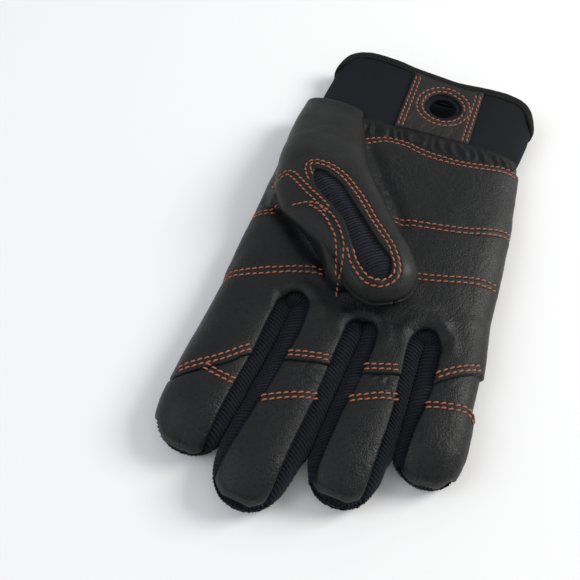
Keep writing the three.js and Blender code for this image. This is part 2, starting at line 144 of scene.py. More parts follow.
def outlineDistance(x, y, outline):  # distance to a closed plan outline, less than 0 inside it
    shape = np.shape(x)
    px, py = np.ravel(x), np.ravel(y)
    best = np.full(px.shape, 1e9)
    inside = np.zeros(px.shape, bool)
    for (ax, ay), (bx, by) in zip(outline, np.roll(outline, -1, axis=0)):
        ex, ey = bx - ax, by - ay
        t = np.clip(((px - ax) * ex + (py - ay) * ey) / max(ex * ex + ey * ey, 1e-9), 0, 1)
        best = np.minimum(best, (px - ax - t * ex) ** 2 + (py - ay - t * ey) ** 2)
        crosses = (ay > py) != (by > py)
        if abs(ey) > 1e-9:
            inside ^= crosses & (px < ax + (py - ay) * ex / ey)
    return (np.sqrt(best) * np.where(inside, -1, 1)).reshape(shape)


# The hand that the leather and knit lie on. topRound and backRound are the roundness of its palm side and
# back, palmSide and fingerSide how square its sides are, nothing the height off it. The tables hold shares.
hand = {"width": 112.0, "length": 108.0, "thickness": 17.5, "fingerLength": 86.0, "fingerThickness": 16.0,
        "belly": 0.42, "topRound": 2.2, "backRound": 4.5, "palmSide": 5, "fingerSide": 2.6,
        "palmFrom": -0.045, "fingerFrom": -0.24, "fingerTo": 1.01, "nothing": -6, "backSeam": 4.0,
        "blend": 2.5, "tipRim": 0.2}

palmTable = np.array([  # along, left, right, height
    [-0.045, -0.9, 0.9, 0.34], [-0.03, -0.95, 0.95, 0.66], [0.0, -1.0, 0.985, 0.9],
    [0.1, -1.005, 0.985, 1.0], [0.3, -1.01, 0.985, 1.03], [0.55, -1.015, 0.98, 1.03],
    [0.8, -1.02, 0.95, 0.97], [1.0, -0.97, 0.925, 0.88], [1.06, -0.955, 0.915, 0.86]])

fingerTable = np.array([  # along, width, height
    [-0.24, 0.9, 1.0], [0.0, 0.97, 1.03], [0.3, 1.0, 1.0], [0.6, 1.0, 1.0], [0.8, 1.0, 0.97],
    [0.91, 1.0, 0.88], [0.97, 1.0, 0.74], [1.0, 1.0, 0.5], [1.012, 1.0, 0.3]])

# root, tip, width and length are shares of the hand's. left and right say how far the leather front reaches
# from a finger's middle line, in millimetres, at shares of its length. slotPast: where the next slot ends.
fingers = {
    "index": {"root": -0.359, "tip": -0.386, "width": 0.27, "length": 0.875, "full": 1.0, "slotPast": 0.0,
              "left": [(0, 99), (1, 99)],
              "right": [(0.05, 11.5), (0.13, 10.8), (0.27, 10.7), (0.4, 11.0), (0.55, 10.5), (0.7, 10.0),
                        (1, 9.2)]},
    "middle": {"root": -0.064, "tip": -0.142, "width": 0.27, "length": 1.02, "full": 1.03, "slotPast": -0.026,
               "left": [(0.05, 9.2), (0.14, 7.5), (0.25, 7.1), (0.4, 7.7), (0.6, 8.7), (0.8, 9.8), (1, 10.5)],
               "right": [(0.04, 10.6), (0.12, 9.2), (0.28, 10.0), (0.45, 10.8), (0.74, 10.9), (1, 10.9)]},
    "ring": {"root": 0.182, "tip": 0.154, "width": 0.25, "length": 0.875, "full": 1.0, "slotPast": 0.01,
             "left": [(0.05, 9.0), (0.12, 6.8), (0.18, 6.1), (0.3, 6.5), (0.45, 7.3), (0.6, 8.5), (1, 9.5)],
             "right": [(0.01, 8.0), (0.08, 6.8), (0.15, 7.0), (0.27, 8.3), (0.4, 9.2), (0.55, 9.9),
                       (1, 9.9)]},
    "little": {"root": 0.4, "tip": 0.412, "width": 0.224, "length": 0.67, "full": 0.94,
               "left": [(0.01, 8.2), (0.1, 6.3), (0.2, 5.5), (0.36, 5.6), (0.53, 6.4), (0.7, 8.0), (1, 9.5)],
               "right": [(0, 99), (1, 99)]},
}
fingerNames = list(fingers)


def fingerAxis(finger):  # a finger's length and lean, and the true length of its middle line
    length = finger["length"] * hand["fingerLength"]
    lean = (finger["tip"] - finger["root"]) * hand["width"]
    return length, lean, math.hypot(length, lean)


def fingerPlace(finger, x, y):  # share along a finger and place across it
    length, lean, total = fingerAxis(finger)
    fromRoot = x - finger["root"] * hand["width"]
    return (fromRoot * lean - y * length) / total ** 2, (fromRoot * length + y * lean) / total


def fingerPoint(finger, along, lateral):  # plan point at a share along a finger and a place across it
    length, lean, total = fingerAxis(finger)
    x = finger["root"] * hand["width"] + lean * along + lateral * length / total
    return np.stack([x, -length * along + lateral * lean / total], axis=-1)


def fingerSize(finger, along):  # half width, height and lift of the underside
    full = finger["full"] * hand["fingerThickness"]
    width = hermite(fingerTable, 1, along) * crown(np.clip((along - 0.6) / 0.41, 0, 1), 4, hand["topRound"])
    high = hermite(fingerTable, 2, along) * full
    lost = np.where(along > 0.5, np.maximum(full - high, 0), 0)
    return np.maximum(width * finger["width"] * hand["width"] / 2, 0.2), high, 0.2 * lost


def fingerTop(finger, x, y):
    along, lateral = fingerPlace(finger, x, y)
    half, high, low = fingerSize(finger, along)
    share = np.abs(lateral) / half
    belly = low + hand["belly"] * high
    z = belly + (low + high - belly) * crown(share, hand["fingerSide"], hand["topRound"])
    off = (share > 1) | (along < hand["fingerFrom"]) | (along > hand["fingerTo"])
    return np.where(off, hand["nothing"], z)


def palmSize(y):  # the palm's left and right edges and its height
    left, right = (hermite(palmTable, col, y / hand["length"]) * hand["width"] / 2 for col in (1, 2))
    return left, right, hermite(palmTable, 3, y / hand["length"]) * hand["thickness"]


def palmShare(x, y):  # 0 at the middle of the palm, 1 at its sides, more than 1 off it
    left, right, _ = palmSize(y)
    share = np.abs((2 * x - left - right) / (right - left))
    return np.where(y / hand["length"] < hand["palmFrom"], 2, share)


def palmTop(x, y):
    share = palmShare(x, y)
    rise = hand["belly"] + (1 - hand["belly"]) * crown(share, hand["palmSide"], hand["topRound"])
    return np.where(share > 1, hand["nothing"], palmSize(y)[2] * rise)


def handTop(x, y):
    z = palmTop(x, y)
    for finger in fingers.values():
        z = smoothMax(z, fingerTop(finger, x, y), hand["blend"])
    return z


# The palm's outer sides are unrolled: past refX the flat coordinate u runs down the side of the hand.
refX = {-1: -42.0, 1: 43.0}


def sideTable(side):  # rows along the hand, steps down its side, and where each lies
    rows = np.arange(-80.0, 117.0, 1.0)
    finger = fingers["index" if side < 0 else "little"]
    length = fingerAxis(finger)[0]
    arcs = np.arange(0, 46.0, 0.5)
    xs, zs, ends = [], [], []
    for y in rows:
        along = -y / length
        for _ in range(4):
            half = float(fingerSize(finger, np.clip(along, hand["fingerFrom"], 1.0))[0])
            edge = fingerPoint(finger, along, side * half)
            along += (edge[1] - y) / length
        reach = edge[0] if hand["fingerFrom"] < along < 1.0 else None
        if y > hand["palmFrom"] * hand["length"]:
            palmEdge = float(palmSize(y)[0 if side < 0 else 1])
            reach = palmEdge if reach is None or side * palmEdge > side * reach else reach
        if reach is None:
            reach = refX[side] + side * 0.5
        k = np.sin(np.linspace(0, math.pi / 2, 120))
        x = refX[side] + (reach - side * 0.02 - refX[side]) * k
        z = np.maximum(handTop(x, np.full_like(x, y)), 5.5)
        x = np.concatenate([x, np.full(6, x[-1])])
        z = np.concatenate([z, np.linspace(z[-1], hand["backSeam"] - 0.4, 7)[1:]])
        run = runOf(np.stack([x, z], axis=1))
        xs.append(np.interp(arcs, run, x))
        zs.append(np.interp(arcs, run, z))
        ends.append(run[-1])
    tables = [np.array(xs), np.array(zs), np.array(ends)]
    for table in tables:  # the palm's side runs smoothly into the finger's
        for _ in range(8):
            table[1:-1] = (table[:-2] + 2 * table[1:-1] + table[2:]) / 4
    return rows, arcs, *tables


def gridLookup(rows, cols, values, row, col):  # between the even rows and columns of a table
    i = np.clip((row - rows[0]) / (rows[1] - rows[0]), 0, len(rows) - 1.001)
    j = np.clip((col - cols[0]) / (cols[1] - cols[0]), 0, len(cols) - 1.001)
    i0, j0 = i.astype(int), j.astype(int)
    fi, fj = i - i0, j - j0
    top = values[i0, j0] * (1 - fj) + values[i0, j0 + 1] * fj
    return top * (1 - fi) + (values[i0 + 1, j0] * (1 - fj) + values[i0 + 1, j0 + 1] * fj) * fi


sides = {side: sideTable(side) for side in (-1, 1)}


def handPoint(u, v):  # point of the hand at flat place (u, v)
    u, v = np.asarray(u, float), np.asarray(v, float)
    x, z = u.copy(), handTop(u, v)
    for side in (-1, 1):
        rows, arcs, xs, zs, _ = sides[side]
        past = side * (u - refX[side])
        x = np.where(past > 0, gridLookup(rows, arcs, xs, v, np.maximum(past, 0)), x)
        z = np.where(past > 0, gridLookup(rows, arcs, zs, v, np.maximum(past, 0)), z)
    return np.stack([x, v, z], axis=-1)


def sideRoom(u, v, above):  # flat distance to where the side comes down to a height above the back seam
    room = np.full(np.shape(u), 99.0)
    for side in (-1, 1):
        rows, _, _, _, ends = sides[side]
        room = np.minimum(room, np.interp(v, rows, ends) - above - side * (u - refX[side]))
    return room


def normals(surface, u, v, reach=0.5):
    du = surface(u + reach, v) - surface(u - reach, v)
    dv = surface(u, v + reach) - surface(u, v - reach)
    return unit(np.cross(du, dv))


def leatherEdge(finger, side, start):  # edge of a finger's leather front from a share along it to its tip
    reach = np.array(finger["left" if side < 0 else "right"], float)
    along = start + (1 - start) * np.sin(np.linspace(0, math.pi / 2, 25))
    half = np.maximum(fingerSize(finger, along)[0] - hand["tipRim"], 0)
    lateral = side * np.minimum(np.interp(along, reach[:, 0], reach[:, 1]), half)
    lateral[-1] = 0
    points = fingerPoint(finger, along, lateral)
    points[:, 1] += hand["tipRim"] * smoothstep(0.9, 1, along)
    return points


def outerTip(finger, side):  # where the knit shows round the outer side of the first and last fingertip
    along = np.array([0.9, 0.93, 0.96, 0.985])
    half = fingerSize(finger, along)[0]
    points = fingerPoint(finger, along, side * (half - np.array([0.3, 0.5, 0.6, 0.6])))
    points[:, 1] += hand["tipRim"] * smoothstep(0.9, 1, along)
    return points


def slotLine(i):  # from one fingertip up round the slot's head and down to the next fingertip
    left, right = fingers[fingerNames[i]], fingers[fingerNames[i + 1]]
    down = leatherEdge(left, 1, 0.12 / left["length"])
    up = leatherEdge(right, -1, 0.12 / right["length"])
    rise = left["slotPast"] * hand["length"] - (down[0][1] + up[0][1]) / 2
    angle = np.linspace(0, math.pi, 14)[1:-1]
    across = (1 - np.cos(angle)) / 2
    head = down[0] + (up[0] - down[0]) * across[:, None]
    head[:, 1] += rise * np.sin(angle) ** 0.8
    before = [outerTip(left, -1)] if i == 0 else []
    after = [outerTip(right, 1)[::-1]] if i == 2 else []
    return smoothLine(np.vstack(before + [down[::-1], head, up] + after), 0.5)


slotLines = [slotLine(i) for i in range(3)]
slotOutlines = [np.vstack([line[::3], [line[-1][0], -120], [line[0][0], -120]]) for line in slotLines]
slotHeads = [line[np.argmax(line[:, 1])] - np.array([0, 6.0]) for line in slotLines]


def slotRoom(u, v):  # distance of a flat place from the knit between the fingers, more than 0 on the leather
    x, y, _ = np.moveaxis(handPoint(u, v), -1, 0)
    return np.minimum.reduce([outlineDistance(x, y, outline) for outline in slotOutlines])


def toFlat(points):  # plan points to flat places, past the hand's shoulders too
    points = np.asarray(points, float)
    flat = points.copy()
    for side in (-1, 1):
        rows, arcs, xs, _, ends = sides[side]
        for k, (x, y) in enumerate(points):
            if side * (x - refX[side]) > 0:
                line = xs[int(np.clip(round(y - rows[0]), 0, len(rows) - 1))]
                count = int(np.argmax(side * line)) + 1
                flat[k, 0] = refX[side] + side * np.interp(side * x, side * line[:count], arcs[:count])
    return flat


def beside(line, by):  # an open line moved sideways
    way = unit(np.gradient(line, axis=0))
    return line + by * np.stack([-way[:, 1], way[:, 0]], axis=1)


def plainGrid(name, cols, rows):  # a grid primitive, and where each of its vertices is in rows and columns
    bpy.ops.object.select_all(action="DESELECT")
    bpy.ops.mesh.primitive_grid_add(x_subdivisions=cols - 1, y_subdivisions=rows - 1, size=1)
    piece = bpy.context.object
    piece.name = name
    piece.data.name = name
    place = np.empty(len(piece.data.vertices) * 3)
    piece.data.vertices.foreach_get("co", place)
    place = place.reshape(-1, 3)
    col = np.rint((place[:, 0] + 0.5) * (cols - 1)).astype(int)
    row = np.rint((place[:, 1] + 0.5) * (rows - 1)).astype(int)
    return piece, row, col


def cornersOf(mesh):  # the vertex at each corner of each face
    corners = np.empty(len(mesh.loops), int)
    mesh.loops.foreach_get("vertex_index", corners)
    return corners


def setShape(piece, points, flat):  # points and flat places in millimetres; the flat ones become the UV map
    mesh = piece.data
    mesh.vertices.foreach_set("co", ((points + handOrigin) / 1000).ravel())
    layer = mesh.uv_layers.active or mesh.uv_layers.new(name="UVMap")
    layer.data.foreach_set("uv", (flat[cornersOf(mesh)] / 1000).ravel())
    mesh.shade_smooth()
    mesh.update()


def laidGrid(name, points, flat):  # a piece from rows and columns of points
    piece, row, col = plainGrid(name, points.shape[1], points.shape[0])
    setShape(piece, points[row, col], flat[row, col])
    return piece


def cutSheet(name, spanU, spanV, step, inside, shape, skirt=0.9, weld=False):
    # a flat grid trimmed to where inside is more than 0, laid in its shape, its edge turned down by skirt;
    # weld closes a tube along its seam
    cols, rows = (int((span[1] - span[0]) / step) + 2 for span in (spanU, spanV))
    piece, row, col = plainGrid(name, cols, rows)
    u = spanU[0] + (spanU[1] - spanU[0]) * col / (cols - 1)
    v = spanV[0] + (spanV[1] - spanV[0]) * row / (rows - 1)
    room = inside(u, v)
    near = 0.35 * step
    gone = ~(room[cornersOf(piece.data).reshape(-1, 4)] > near).any(axis=1)
    work = bmesh.new()
    work.from_mesh(piece.data)
    work.faces.ensure_lookup_table()
    mark = work.verts.layers.int.new("mark")
    for k, vert in enumerate(work.verts):
        vert[mark] = k
    bmesh.ops.delete(work, geom=[work.faces[k] for k in np.flatnonzero(gone)], context="FACES")
    kept = np.array([vert[mark] for vert in work.verts])
    u, v, room = u[kept], v[kept], room[kept]
    for _ in range(4):  # the outermost vertices are drawn onto the outline
        move = room < near
        if not move.any():
            break
        by = 0.05
        du = (inside(u[move] + by, v[move]) - inside(u[move] - by, v[move])) / (2 * by)
        dv = (inside(u[move], v[move] + by) - inside(u[move], v[move] - by)) / (2 * by)
        drawn = np.clip(-room[move] / np.maximum(du ** 2 + dv ** 2, 0.3), -1.2 * step, 1.2 * step)
        u[move] += drawn * du
        v[move] += drawn * dv
        room[move] = np.minimum(inside(u[move], v[move]), near * 0.99)
    points, way = shape(u, v)
    for vert, place in zip(work.verts, points):
        vert.co = place
    order = {int(vert[mark]): k for k, vert in enumerate(work.verts)}
    if weld:
        bmesh.ops.remove_doubles(work, verts=work.verts, dist=0.02)
    if skirt:
        made = bmesh.ops.extrude_edge_only(work, edges=[edge for edge in work.edges if edge.is_boundary])
        for vert in made["geom"]:
            if isinstance(vert, bmesh.types.BMVert):
                k = order[int(vert[mark])]
                vert.co = points[k] - way[k] * skirt
    bmesh.ops.recalc_face_normals(work, faces=work.faces)
    source = np.array([order[int(vert[mark])] for vert in work.verts])
    shaped = np.array([vert.co for vert in work.verts]).reshape(-1, 3)
    work.to_mesh(piece.data)
    work.free()
    setShape(piece, shaped, np.stack([u, v], axis=1)[source])
    return piece


def rolled(room, high, low, width):  # height of an edge that rounds down from high to low
    t = np.clip(room / width, 0, 1)
    return low + (high - low) * np.sqrt(np.maximum(1 - (1 - t) ** 2, 0))


def seamMap(lines, spanX, spanY, cell=0.25, width=0.42):  # how deep each place lies in the rows of stitches
    cols, rows = (int((span[1] - span[0]) / cell) for span in (spanX, spanY))
    depth = np.zeros((rows, cols))
    reach = int(3 * width / cell) + 1
    for line in lines:
        for x, y in evenly(np.asarray(line, float), cell):
            i, j = int((y - spanY[0]) / cell), int((x - spanX[0]) / cell)
            if not (reach < i < rows - reach and reach < j < cols - reach):
                continue
            yy, xx = np.mgrid[i - reach:i + reach + 1, j - reach:j + reach + 1]
            far = (xx * cell + spanX[0] - x) ** 2 + (yy * cell + spanY[0] - y) ** 2
            window = depth[i - reach:i + reach + 1, j - reach:j + reach + 1]
            np.maximum(window, np.exp(-far / (2 * width ** 2)), out=window)
    xs = spanX[0] + cell * np.arange(cols)
    ys = spanY[0] + cell * np.arange(rows)
    return lambda x, y: gridLookup(ys, xs, depth, y, x)


def finished(piece, material, slotName=None, *nodes):  # what every piece ends with
    piece.data.materials.clear()
    piece.data.materials.append(material)
    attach(piece, "root")
    if nodes:
        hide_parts(*nodes)
    print(piece.name, len(piece.data.polygons), "faces")


def linear(hexColour):  # an sRGB colour as Blender's own
    parts = [int(hexColour[i:i + 2], 16) / 255 for i in (1, 3, 5)]
    return tuple(c / 12.92 if c <= 0.04045 else ((c + 0.055) / 1.055) ** 2.4 for c in parts) + (1.0,)


def node(material, kind, links=(), stops=(), **settings):  # adds a node: its settings, colour stops and links
    tree = material.node_tree
    made = tree.nodes.new(kind)
    for name, value in settings.items():
        if name.startswith("in_"):
            key = name[3:]
            made.inputs[int(key) if key.isdigit() else key.replace("_", " ")].default_value = value
        else:
            setattr(made, name, value)
    for k, (place, colour) in enumerate(stops):
        elements = made.color_ramp.elements
        element = elements[k] if k < len(elements) else elements.new(place)
        element.position = place
        element.color = linear(colour) if isinstance(colour, str) else (colour, colour, colour, 1)
    for source, target in links:
        tree.links.new(source, made.inputs[target])
    return made


def newMaterial(name):
    material = bpy.data.materials.new(name)
    material.use_nodes = True
    material.node_tree.nodes.clear()
    return material


# One goatskin in four copies; the gathered band's is a little darker overall, painted shade standing in for
# its folds. pebble: width of a grain in millimetres; bump: how deep it is; dark and
# light: where dye has gone in more and less; shadedPore: the darker colour painted between the grains as
# shade.
def blackLeather(name, settings):
    # drum-dyed goatskin: small round pebbles with dull pores between them, which are painted darker than the
    # crowns as shade; their crowns are polished, so in slanting light each catches a glint. They are drawn
    # half as large again as real ones, or would be lost
    material = newMaterial(name)
    place = node(material, "ShaderNodeTexCoord").outputs["Object"]
    warp = node(material, "ShaderNodeTexNoise", [(place, "Vector")], in_Scale=1000 / 5, in_Detail=2.0)
    shift = node(material, "ShaderNodeVectorMath", [(warp.outputs["Color"], 0)], operation="SCALE",
                 in_Scale=0.0012)
    moved = node(material, "ShaderNodeVectorMath", [(place, 0), (shift.outputs[0], 1)], operation="ADD")
    pebbles = node(material, "ShaderNodeTexVoronoi", [(moved.outputs[0], "Vector")], feature="F1",
                   in_Scale=1000 / settings["pebble"])
    fine = node(material, "ShaderNodeTexNoise", [(place, "Vector")], in_Scale=1000 / 0.5, in_Detail=3.0)
    broad = node(material, "ShaderNodeTexNoise", [(place, "Vector")], in_Scale=1000 / 16, in_Detail=4.0)
    crowns = node(material, "ShaderNodeValToRGB", [(pebbles.outputs["Distance"], 0)],
                  [(0.0, 1.0), (0.45, 0.72), (0.85, 0.0)])
    crowns.color_ramp.interpolation = "EASE"
    relief = node(material, "ShaderNodeMath", [(fine.outputs["Fac"], 0), (crowns.outputs["Color"], 2)],
                  operation="MULTIPLY_ADD", in_1=0.8)
    bump = node(material, "ShaderNodeBump", [(relief.outputs[0], "Height")], in_Strength=settings["bump"],
                in_Distance=0.00016)
    colour = node(material, "ShaderNodeValToRGB", [(broad.outputs["Fac"], 0)],
                  [(0.3, settings["dark"]), (0.7, settings["light"])])
    # painted shade: the pores between the pebbles take the darker shadedPore colour
    shade = node(material, "ShaderNodeMix", [(crowns.outputs["Color"], 0), (colour.outputs["Color"], 7)],
                 data_type="RGBA", in_6=linear(settings["shadedPore"]))
    gloss = node(material, "ShaderNodeValToRGB", [(broad.outputs["Fac"], 0)],
                 [(0.25, settings["rough"] + 0.07), (0.75, settings["rough"] - 0.07)])
    shader = node(material, "ShaderNodeBsdfPrincipled",
                  [(shade.outputs[2], "Base Color"), (gloss.outputs["Color"], "Roughness"),
                   (bump.outputs[0], "Normal")], in_IOR=1.5, in_Specular_IOR_Level=settings["shine"])
    node(material, "ShaderNodeOutputMaterial", [(shader.outputs[0], "Surface")])
    return material


palmLeatherLook = {"pebble": 0.75, "bump": 0.6, "dark": "#151617", "light": "#1d1e1f", "shadedPore": "#0c0d0e",
                   "rough": 0.46, "shine": 0.27}
# the gathered band: the same goatskin painted a little darker, as painted shade of its folds, and rougher
gatherShadedLook = {"pebble": 0.75, "bump": 0.5, "dark": "#131415", "light": "#1b1c1d", "shadedPore": "#0d0e0f",
                "rough": 0.58, "shine": 0.2}
patchLook = {"pebble": 0.75, "bump": 0.4, "dark": "#21201e", "light": "#2a2926", "shadedPore": "#171615",
             "rough": 0.5, "shine": 0.3}
thumbLeatherLook = {"pebble": 0.75, "bump": 0.25, "dark": "#171817", "light": "#1f201f", "shadedPore": "#121212",
                    "rough": 0.46, "shine": 0.25}
grained = blackLeather("pebbled black goatskin", palmLeatherLook)
smooth = blackLeather("smooth black goatskin", thumbLeatherLook)
gathered = blackLeather("gathered black goatskin", gatherShadedLook)
patched = blackLeather("waxed black goatskin", patchLook)


def ribbedKnit(name, settings):
    # acrylic rib knit: the ribs are in the mesh, and each carries small loops that scatter light like felt
    material = newMaterial(name)
    flat = node(material, "ShaderNodeUVMap", uv_map="UVMap").outputs[0]
    place = node(material, "ShaderNodeTexCoord").outputs["Object"]
    loops = node(material, "ShaderNodeTexWave", [(flat, "Vector")], wave_type="BANDS", bands_direction="Y",
                 in_Scale=314.16 / settings["loop"], in_Distortion=1.2, in_Detail=1.0)
    fuzz = node(material, "ShaderNodeTexNoise", [(place, "Vector")], in_Scale=1000 / 0.35, in_Detail=4.0)
    height = node(material, "ShaderNodeMath", [(fuzz.outputs["Fac"], 0), (loops.outputs["Fac"], 2)],
                  operation="MULTIPLY_ADD", in_1=0.6)
    bump = node(material, "ShaderNodeBump", [(height.outputs[0], "Height")], in_Strength=0.8,
                in_Distance=0.00025)
    colour = node(material, "ShaderNodeValToRGB", [(fuzz.outputs["Fac"], 0)],
                  [(0.35, settings["dark"]), (0.7, settings["light"])])
    shader = node(material, "ShaderNodeBsdfPrincipled",
                  [(colour.outputs["Color"], "Base Color"), (bump.outputs[0], "Normal")],
                  in_Roughness=0.92, in_IOR=1.5, in_Specular_IOR_Level=0.25,
                  in_Sheen_Weight=settings["sheen"], in_Sheen_Roughness=0.4, in_Sheen_Tint=linear("#8d93a6"))
    node(material, "ShaderNodeOutputMaterial", [(shader.outputs[0], "Surface")])
    return material


knitLook = {"loop": 0.65, "dark": "#0a0b0f", "light": "#22252d", "sheen": 0.2}
knit = ribbedKnit("black acrylic rib knit", knitLook)


def neopreneFace(name, settings):
    # neoprene foam faced with fine nylon jersey: dead matte, with a faint bluish bloom and a soft tooth
    material = newMaterial(name)
    place = node(material, "ShaderNodeTexCoord").outputs["Object"]
    tooth = node(material, "ShaderNodeTexNoise", [(place, "Vector")], in_Scale=1000 / 0.5, in_Detail=3.0)
    broad = node(material, "ShaderNodeTexNoise", [(place, "Vector")], in_Scale=1000 / 25, in_Detail=3.0)
    bump = node(material, "ShaderNodeBump", [(tooth.outputs["Fac"], "Height")], in_Strength=0.45,
                in_Distance=0.0001)
    colour = node(material, "ShaderNodeValToRGB", [(broad.outputs["Fac"], 0)],
                  [(0.3, settings["dark"]), (0.7, settings["light"])])
    shader = node(material, "ShaderNodeBsdfPrincipled",
                  [(colour.outputs["Color"], "Base Color"), (bump.outputs[0], "Normal")],
                  in_Roughness=0.85, in_IOR=1.5, in_Specular_IOR_Level=0.14,
                  in_Sheen_Weight=settings["sheen"], in_Sheen_Roughness=0.5, in_Sheen_Tint=linear("#9aa0b4"))
    node(material, "ShaderNodeOutputMaterial", [(shader.outputs[0], "Surface")])
    return material


neoprene = neopreneFace("jersey-faced black neoprene", {"dark": "#141519", "light": "#191a1e", "sheen": 0.03})
tape = neopreneFace("woven black binding tape", {"dark": "#181918", "light": "#222320", "sheen": 0.05})


def sewingThread(name, settings):
    # bonded polyester thread: three plies twisted together, so fine slanting bands of light and shade
    material = newMaterial(name)
    flat = node(material, "ShaderNodeUVMap", uv_map="UVMap").outputs[0]
    plies = node(material, "ShaderNodeTexWave", [(flat, "Vector")], wave_type="BANDS",
                 bands_direction="DIAGONAL", in_Scale=628.32 / settings["twist"], in_Distortion=0.0)
    colour = node(material, "ShaderNodeValToRGB", [(plies.outputs["Fac"], 0)],
                  [(0.1, settings["dark"]), (0.7, settings["light"])])
    bump = node(material, "ShaderNodeBump", [(plies.outputs["Fac"], "Height")], in_Strength=0.5,
                in_Distance=0.0001)
    shader = node(material, "ShaderNodeBsdfPrincipled",
                  [(colour.outputs["Color"], "Base Color"), (bump.outputs[0], "Normal")],
                  in_Roughness=0.5, in_IOR=1.5)
    node(material, "ShaderNodeOutputMaterial", [(shader.outputs[0], "Surface")])
    return material


threadLook = {"twist": 0.5, "dark": "#82442c", "light": "#c07556"}
orangeThread = sewingThread("orange bonded polyester thread", threadLook)


# Rows of stitches on the hand, in plan: across wrist, heel and palm, below each finger and round each tip.
handSeams = {
    "wrist": {"line": [(-21.1, 91.5), (-15, 95.2), (-9.2, 97.0), (-2.2, 96.7), (5.9, 94.1), (15.9, 93.0),
                       (25.9, 93.1), (35.7, 95.1), (45.2, 98.4), (51, 99.6)], "apart": 2.6},
    "heel": {"line": [(4.2, 49.1), (21.2, 50.6), (36.1, 54.0), (50.5, 60.6), (54.5, 63.5)], "apart": 2.6},
    "centre": {"line": [(21, 22.6), (30, 25.0), (36.1, 27.0), (45.7, 30.4), (54, 32.6)], "apart": 2.6},
    "indexRoot": {"line": [(-54.6, -1.5), (-51.7, 0.2), (-47.3, 1.4), (-39.0, 4.8), (-28.9, 9.1),
                           (-20.9, 11.4), (-12, 12.2)], "apart": 2.6},
    "indexJoint": {"line": [(-54.6, -48.8), (-41.2, -39.2), (-34.4, -32.3), (-30.9, -29.2)], "apart": 2.0},
    "middleJoint": {"line": [(-17.0, -28.4), (0.4, -24.4)], "apart": 2.0},
    "ringJoint": {"line": [(12.8, -23.7), (27.6, -19.0)], "apart": 2.0},
    "littleJoint": {"line": [(40.5, -17.4), (48, -12.0), (55.8, -6.4)], "apart": 2.0},
    "indexTip": {"line": [(-45.8, -44.6), (-39, -45.9), (-32.3, -46.3)], "apart": 2.0},
    "middleTip": {"line": [(-19.8, -50.0), (-9.1, -44.9), (0.6, -40.9)], "apart": 2.0},
    "ringTip": {"line": [(11.6, -38.7), (20.8, -34.1), (28.6, -31.1)], "apart": 2.0},
    "littleTip": {"line": [(39.4, -30.7), (50.5, -27.8), (54.9, -27.0), (57.3, -28.5), (57.9, -32.0)],
                  "apart": 2.0},
}

for seam in handSeams.values():
    middle = smoothLine(toFlat(seam["line"]), 0.5)
    seam["middle"] = middle
    seam["rows"] = [beside(middle, side * seam["apart"] / 2) for side in (-1, 1)]

handDents = seamMap([row for seam in handSeams.values() for row in seam["rows"]], (-85, 85), (-92, 120))

# Where the leather has creased in wear: middle, reach, direction of the creases, their size and depth.
palmWrinkles = [
    {"at": (-22, 6), "reach": (12, 9), "turn": 60, "size": 2.6, "stretch": 3.0, "deep": 0.3},
    {"at": (6, 4), "reach": (12, 9), "turn": 100, "size": 2.6, "stretch": 3.0, "deep": 0.3},
    {"at": (33, 7), "reach": (11, 9), "turn": 70, "size": 2.6, "stretch": 3.0, "deep": 0.3},
    {"at": (47, 22), "reach": (8, 26), "turn": 95, "size": 2.8, "stretch": 3.2, "deep": 0.26},
    {"at": (30, 60), "reach": (26, 20), "turn": 10, "size": 4.0, "stretch": 3.2, "deep": 0.16},
    {"at": (5, 30), "reach": (18, 16), "turn": 80, "size": 3.6, "stretch": 3.4, "deep": 0.25},
    {"at": (-4, 66), "reach": (8, 24), "turn": 122, "size": 2.0, "stretch": 3.0, "deep": 1.0},
    {"at": (15, 84), "reach": (36, 9), "turn": 100, "size": 3.0, "stretch": 2.6, "deep": 0.25},
    {"at": (-9, -34), "reach": (12, 6), "turn": 20, "size": 2.0, "stretch": 3.2, "deep": 1.0},
    {"at": (20, -28), "reach": (12, 6), "turn": 20, "size": 2.0, "stretch": 3.2, "deep": 1.0},
    {"at": (48, -20), "reach": (12, 6), "turn": 25, "size": 2.0, "stretch": 3.2, "deep": 0.35},
    {"at": (-42, -20), "reach": (12, 18), "turn": 0, "size": 3.0, "stretch": 3.2, "deep": 0.16},
    {"at": (-34, -60), "reach": (7, 14), "turn": 60, "size": 2.0, "stretch": 2.4, "deep": 0.3},
    {"at": (-2, -72), "reach": (7, 16), "turn": 60, "size": 2.0, "stretch": 2.4, "deep": 0.3},
    {"at": (27, -62), "reach": (7, 13), "turn": 60, "size": 2.0, "stretch": 2.4, "deep": 0.3},
    {"at": (54, -45), "reach": (7, 12), "turn": 60, "size": 2.0, "stretch": 2.4, "deep": 0.3},
]

# Where it bends along a line: at the foot of the thumb's fold, beside the thumb, in a ridge above the slots.
palmBends = [
    {"high": -2.2, "wide": 4.5,
     "line": [(-45.1, 38.4), (-37.1, 32.2), (-28.1, 23.8), (-19.0, 17.4), (-10.2, 10.8)]},
    {"high": -1.6, "wide": 3.2,
     "line": [(-17.0, 88.0), (-9.5, 76.0), (-3.5, 67.0), (3.5, 57.0), (9.0, 48.0)]},
    {"high": 1.1, "wide": 2.8,
     "line": [(-20.5, 13.5), (-14.0, 9.5), (-4.0, 5.5), (5.0, 4.6), (14.0, 5.8), (23.0, 7.8), (31.0, 8.2),
              (38.0, 5.5)]},
]
slotRim = {"out": 9.0, "wide": 2.4, "high": 0.9, "stretch": 1.15}  # pushed up round the heads of the slots


def lineDistance(x, y, line):
    best = np.full(np.shape(x), 1e9)
    for (ax, ay), (bx, by) in zip(line[:-1], line[1:]):
        ex, ey = bx - ax, by - ay
        t = np.clip(((x - ax) * ex + (y - ay) * ey) / (ex * ex + ey * ey), 0, 1)
        best = np.minimum(best, (x - ax - t * ex) ** 2 + (y - ay - t * ey) ** 2)
    return np.sqrt(best)


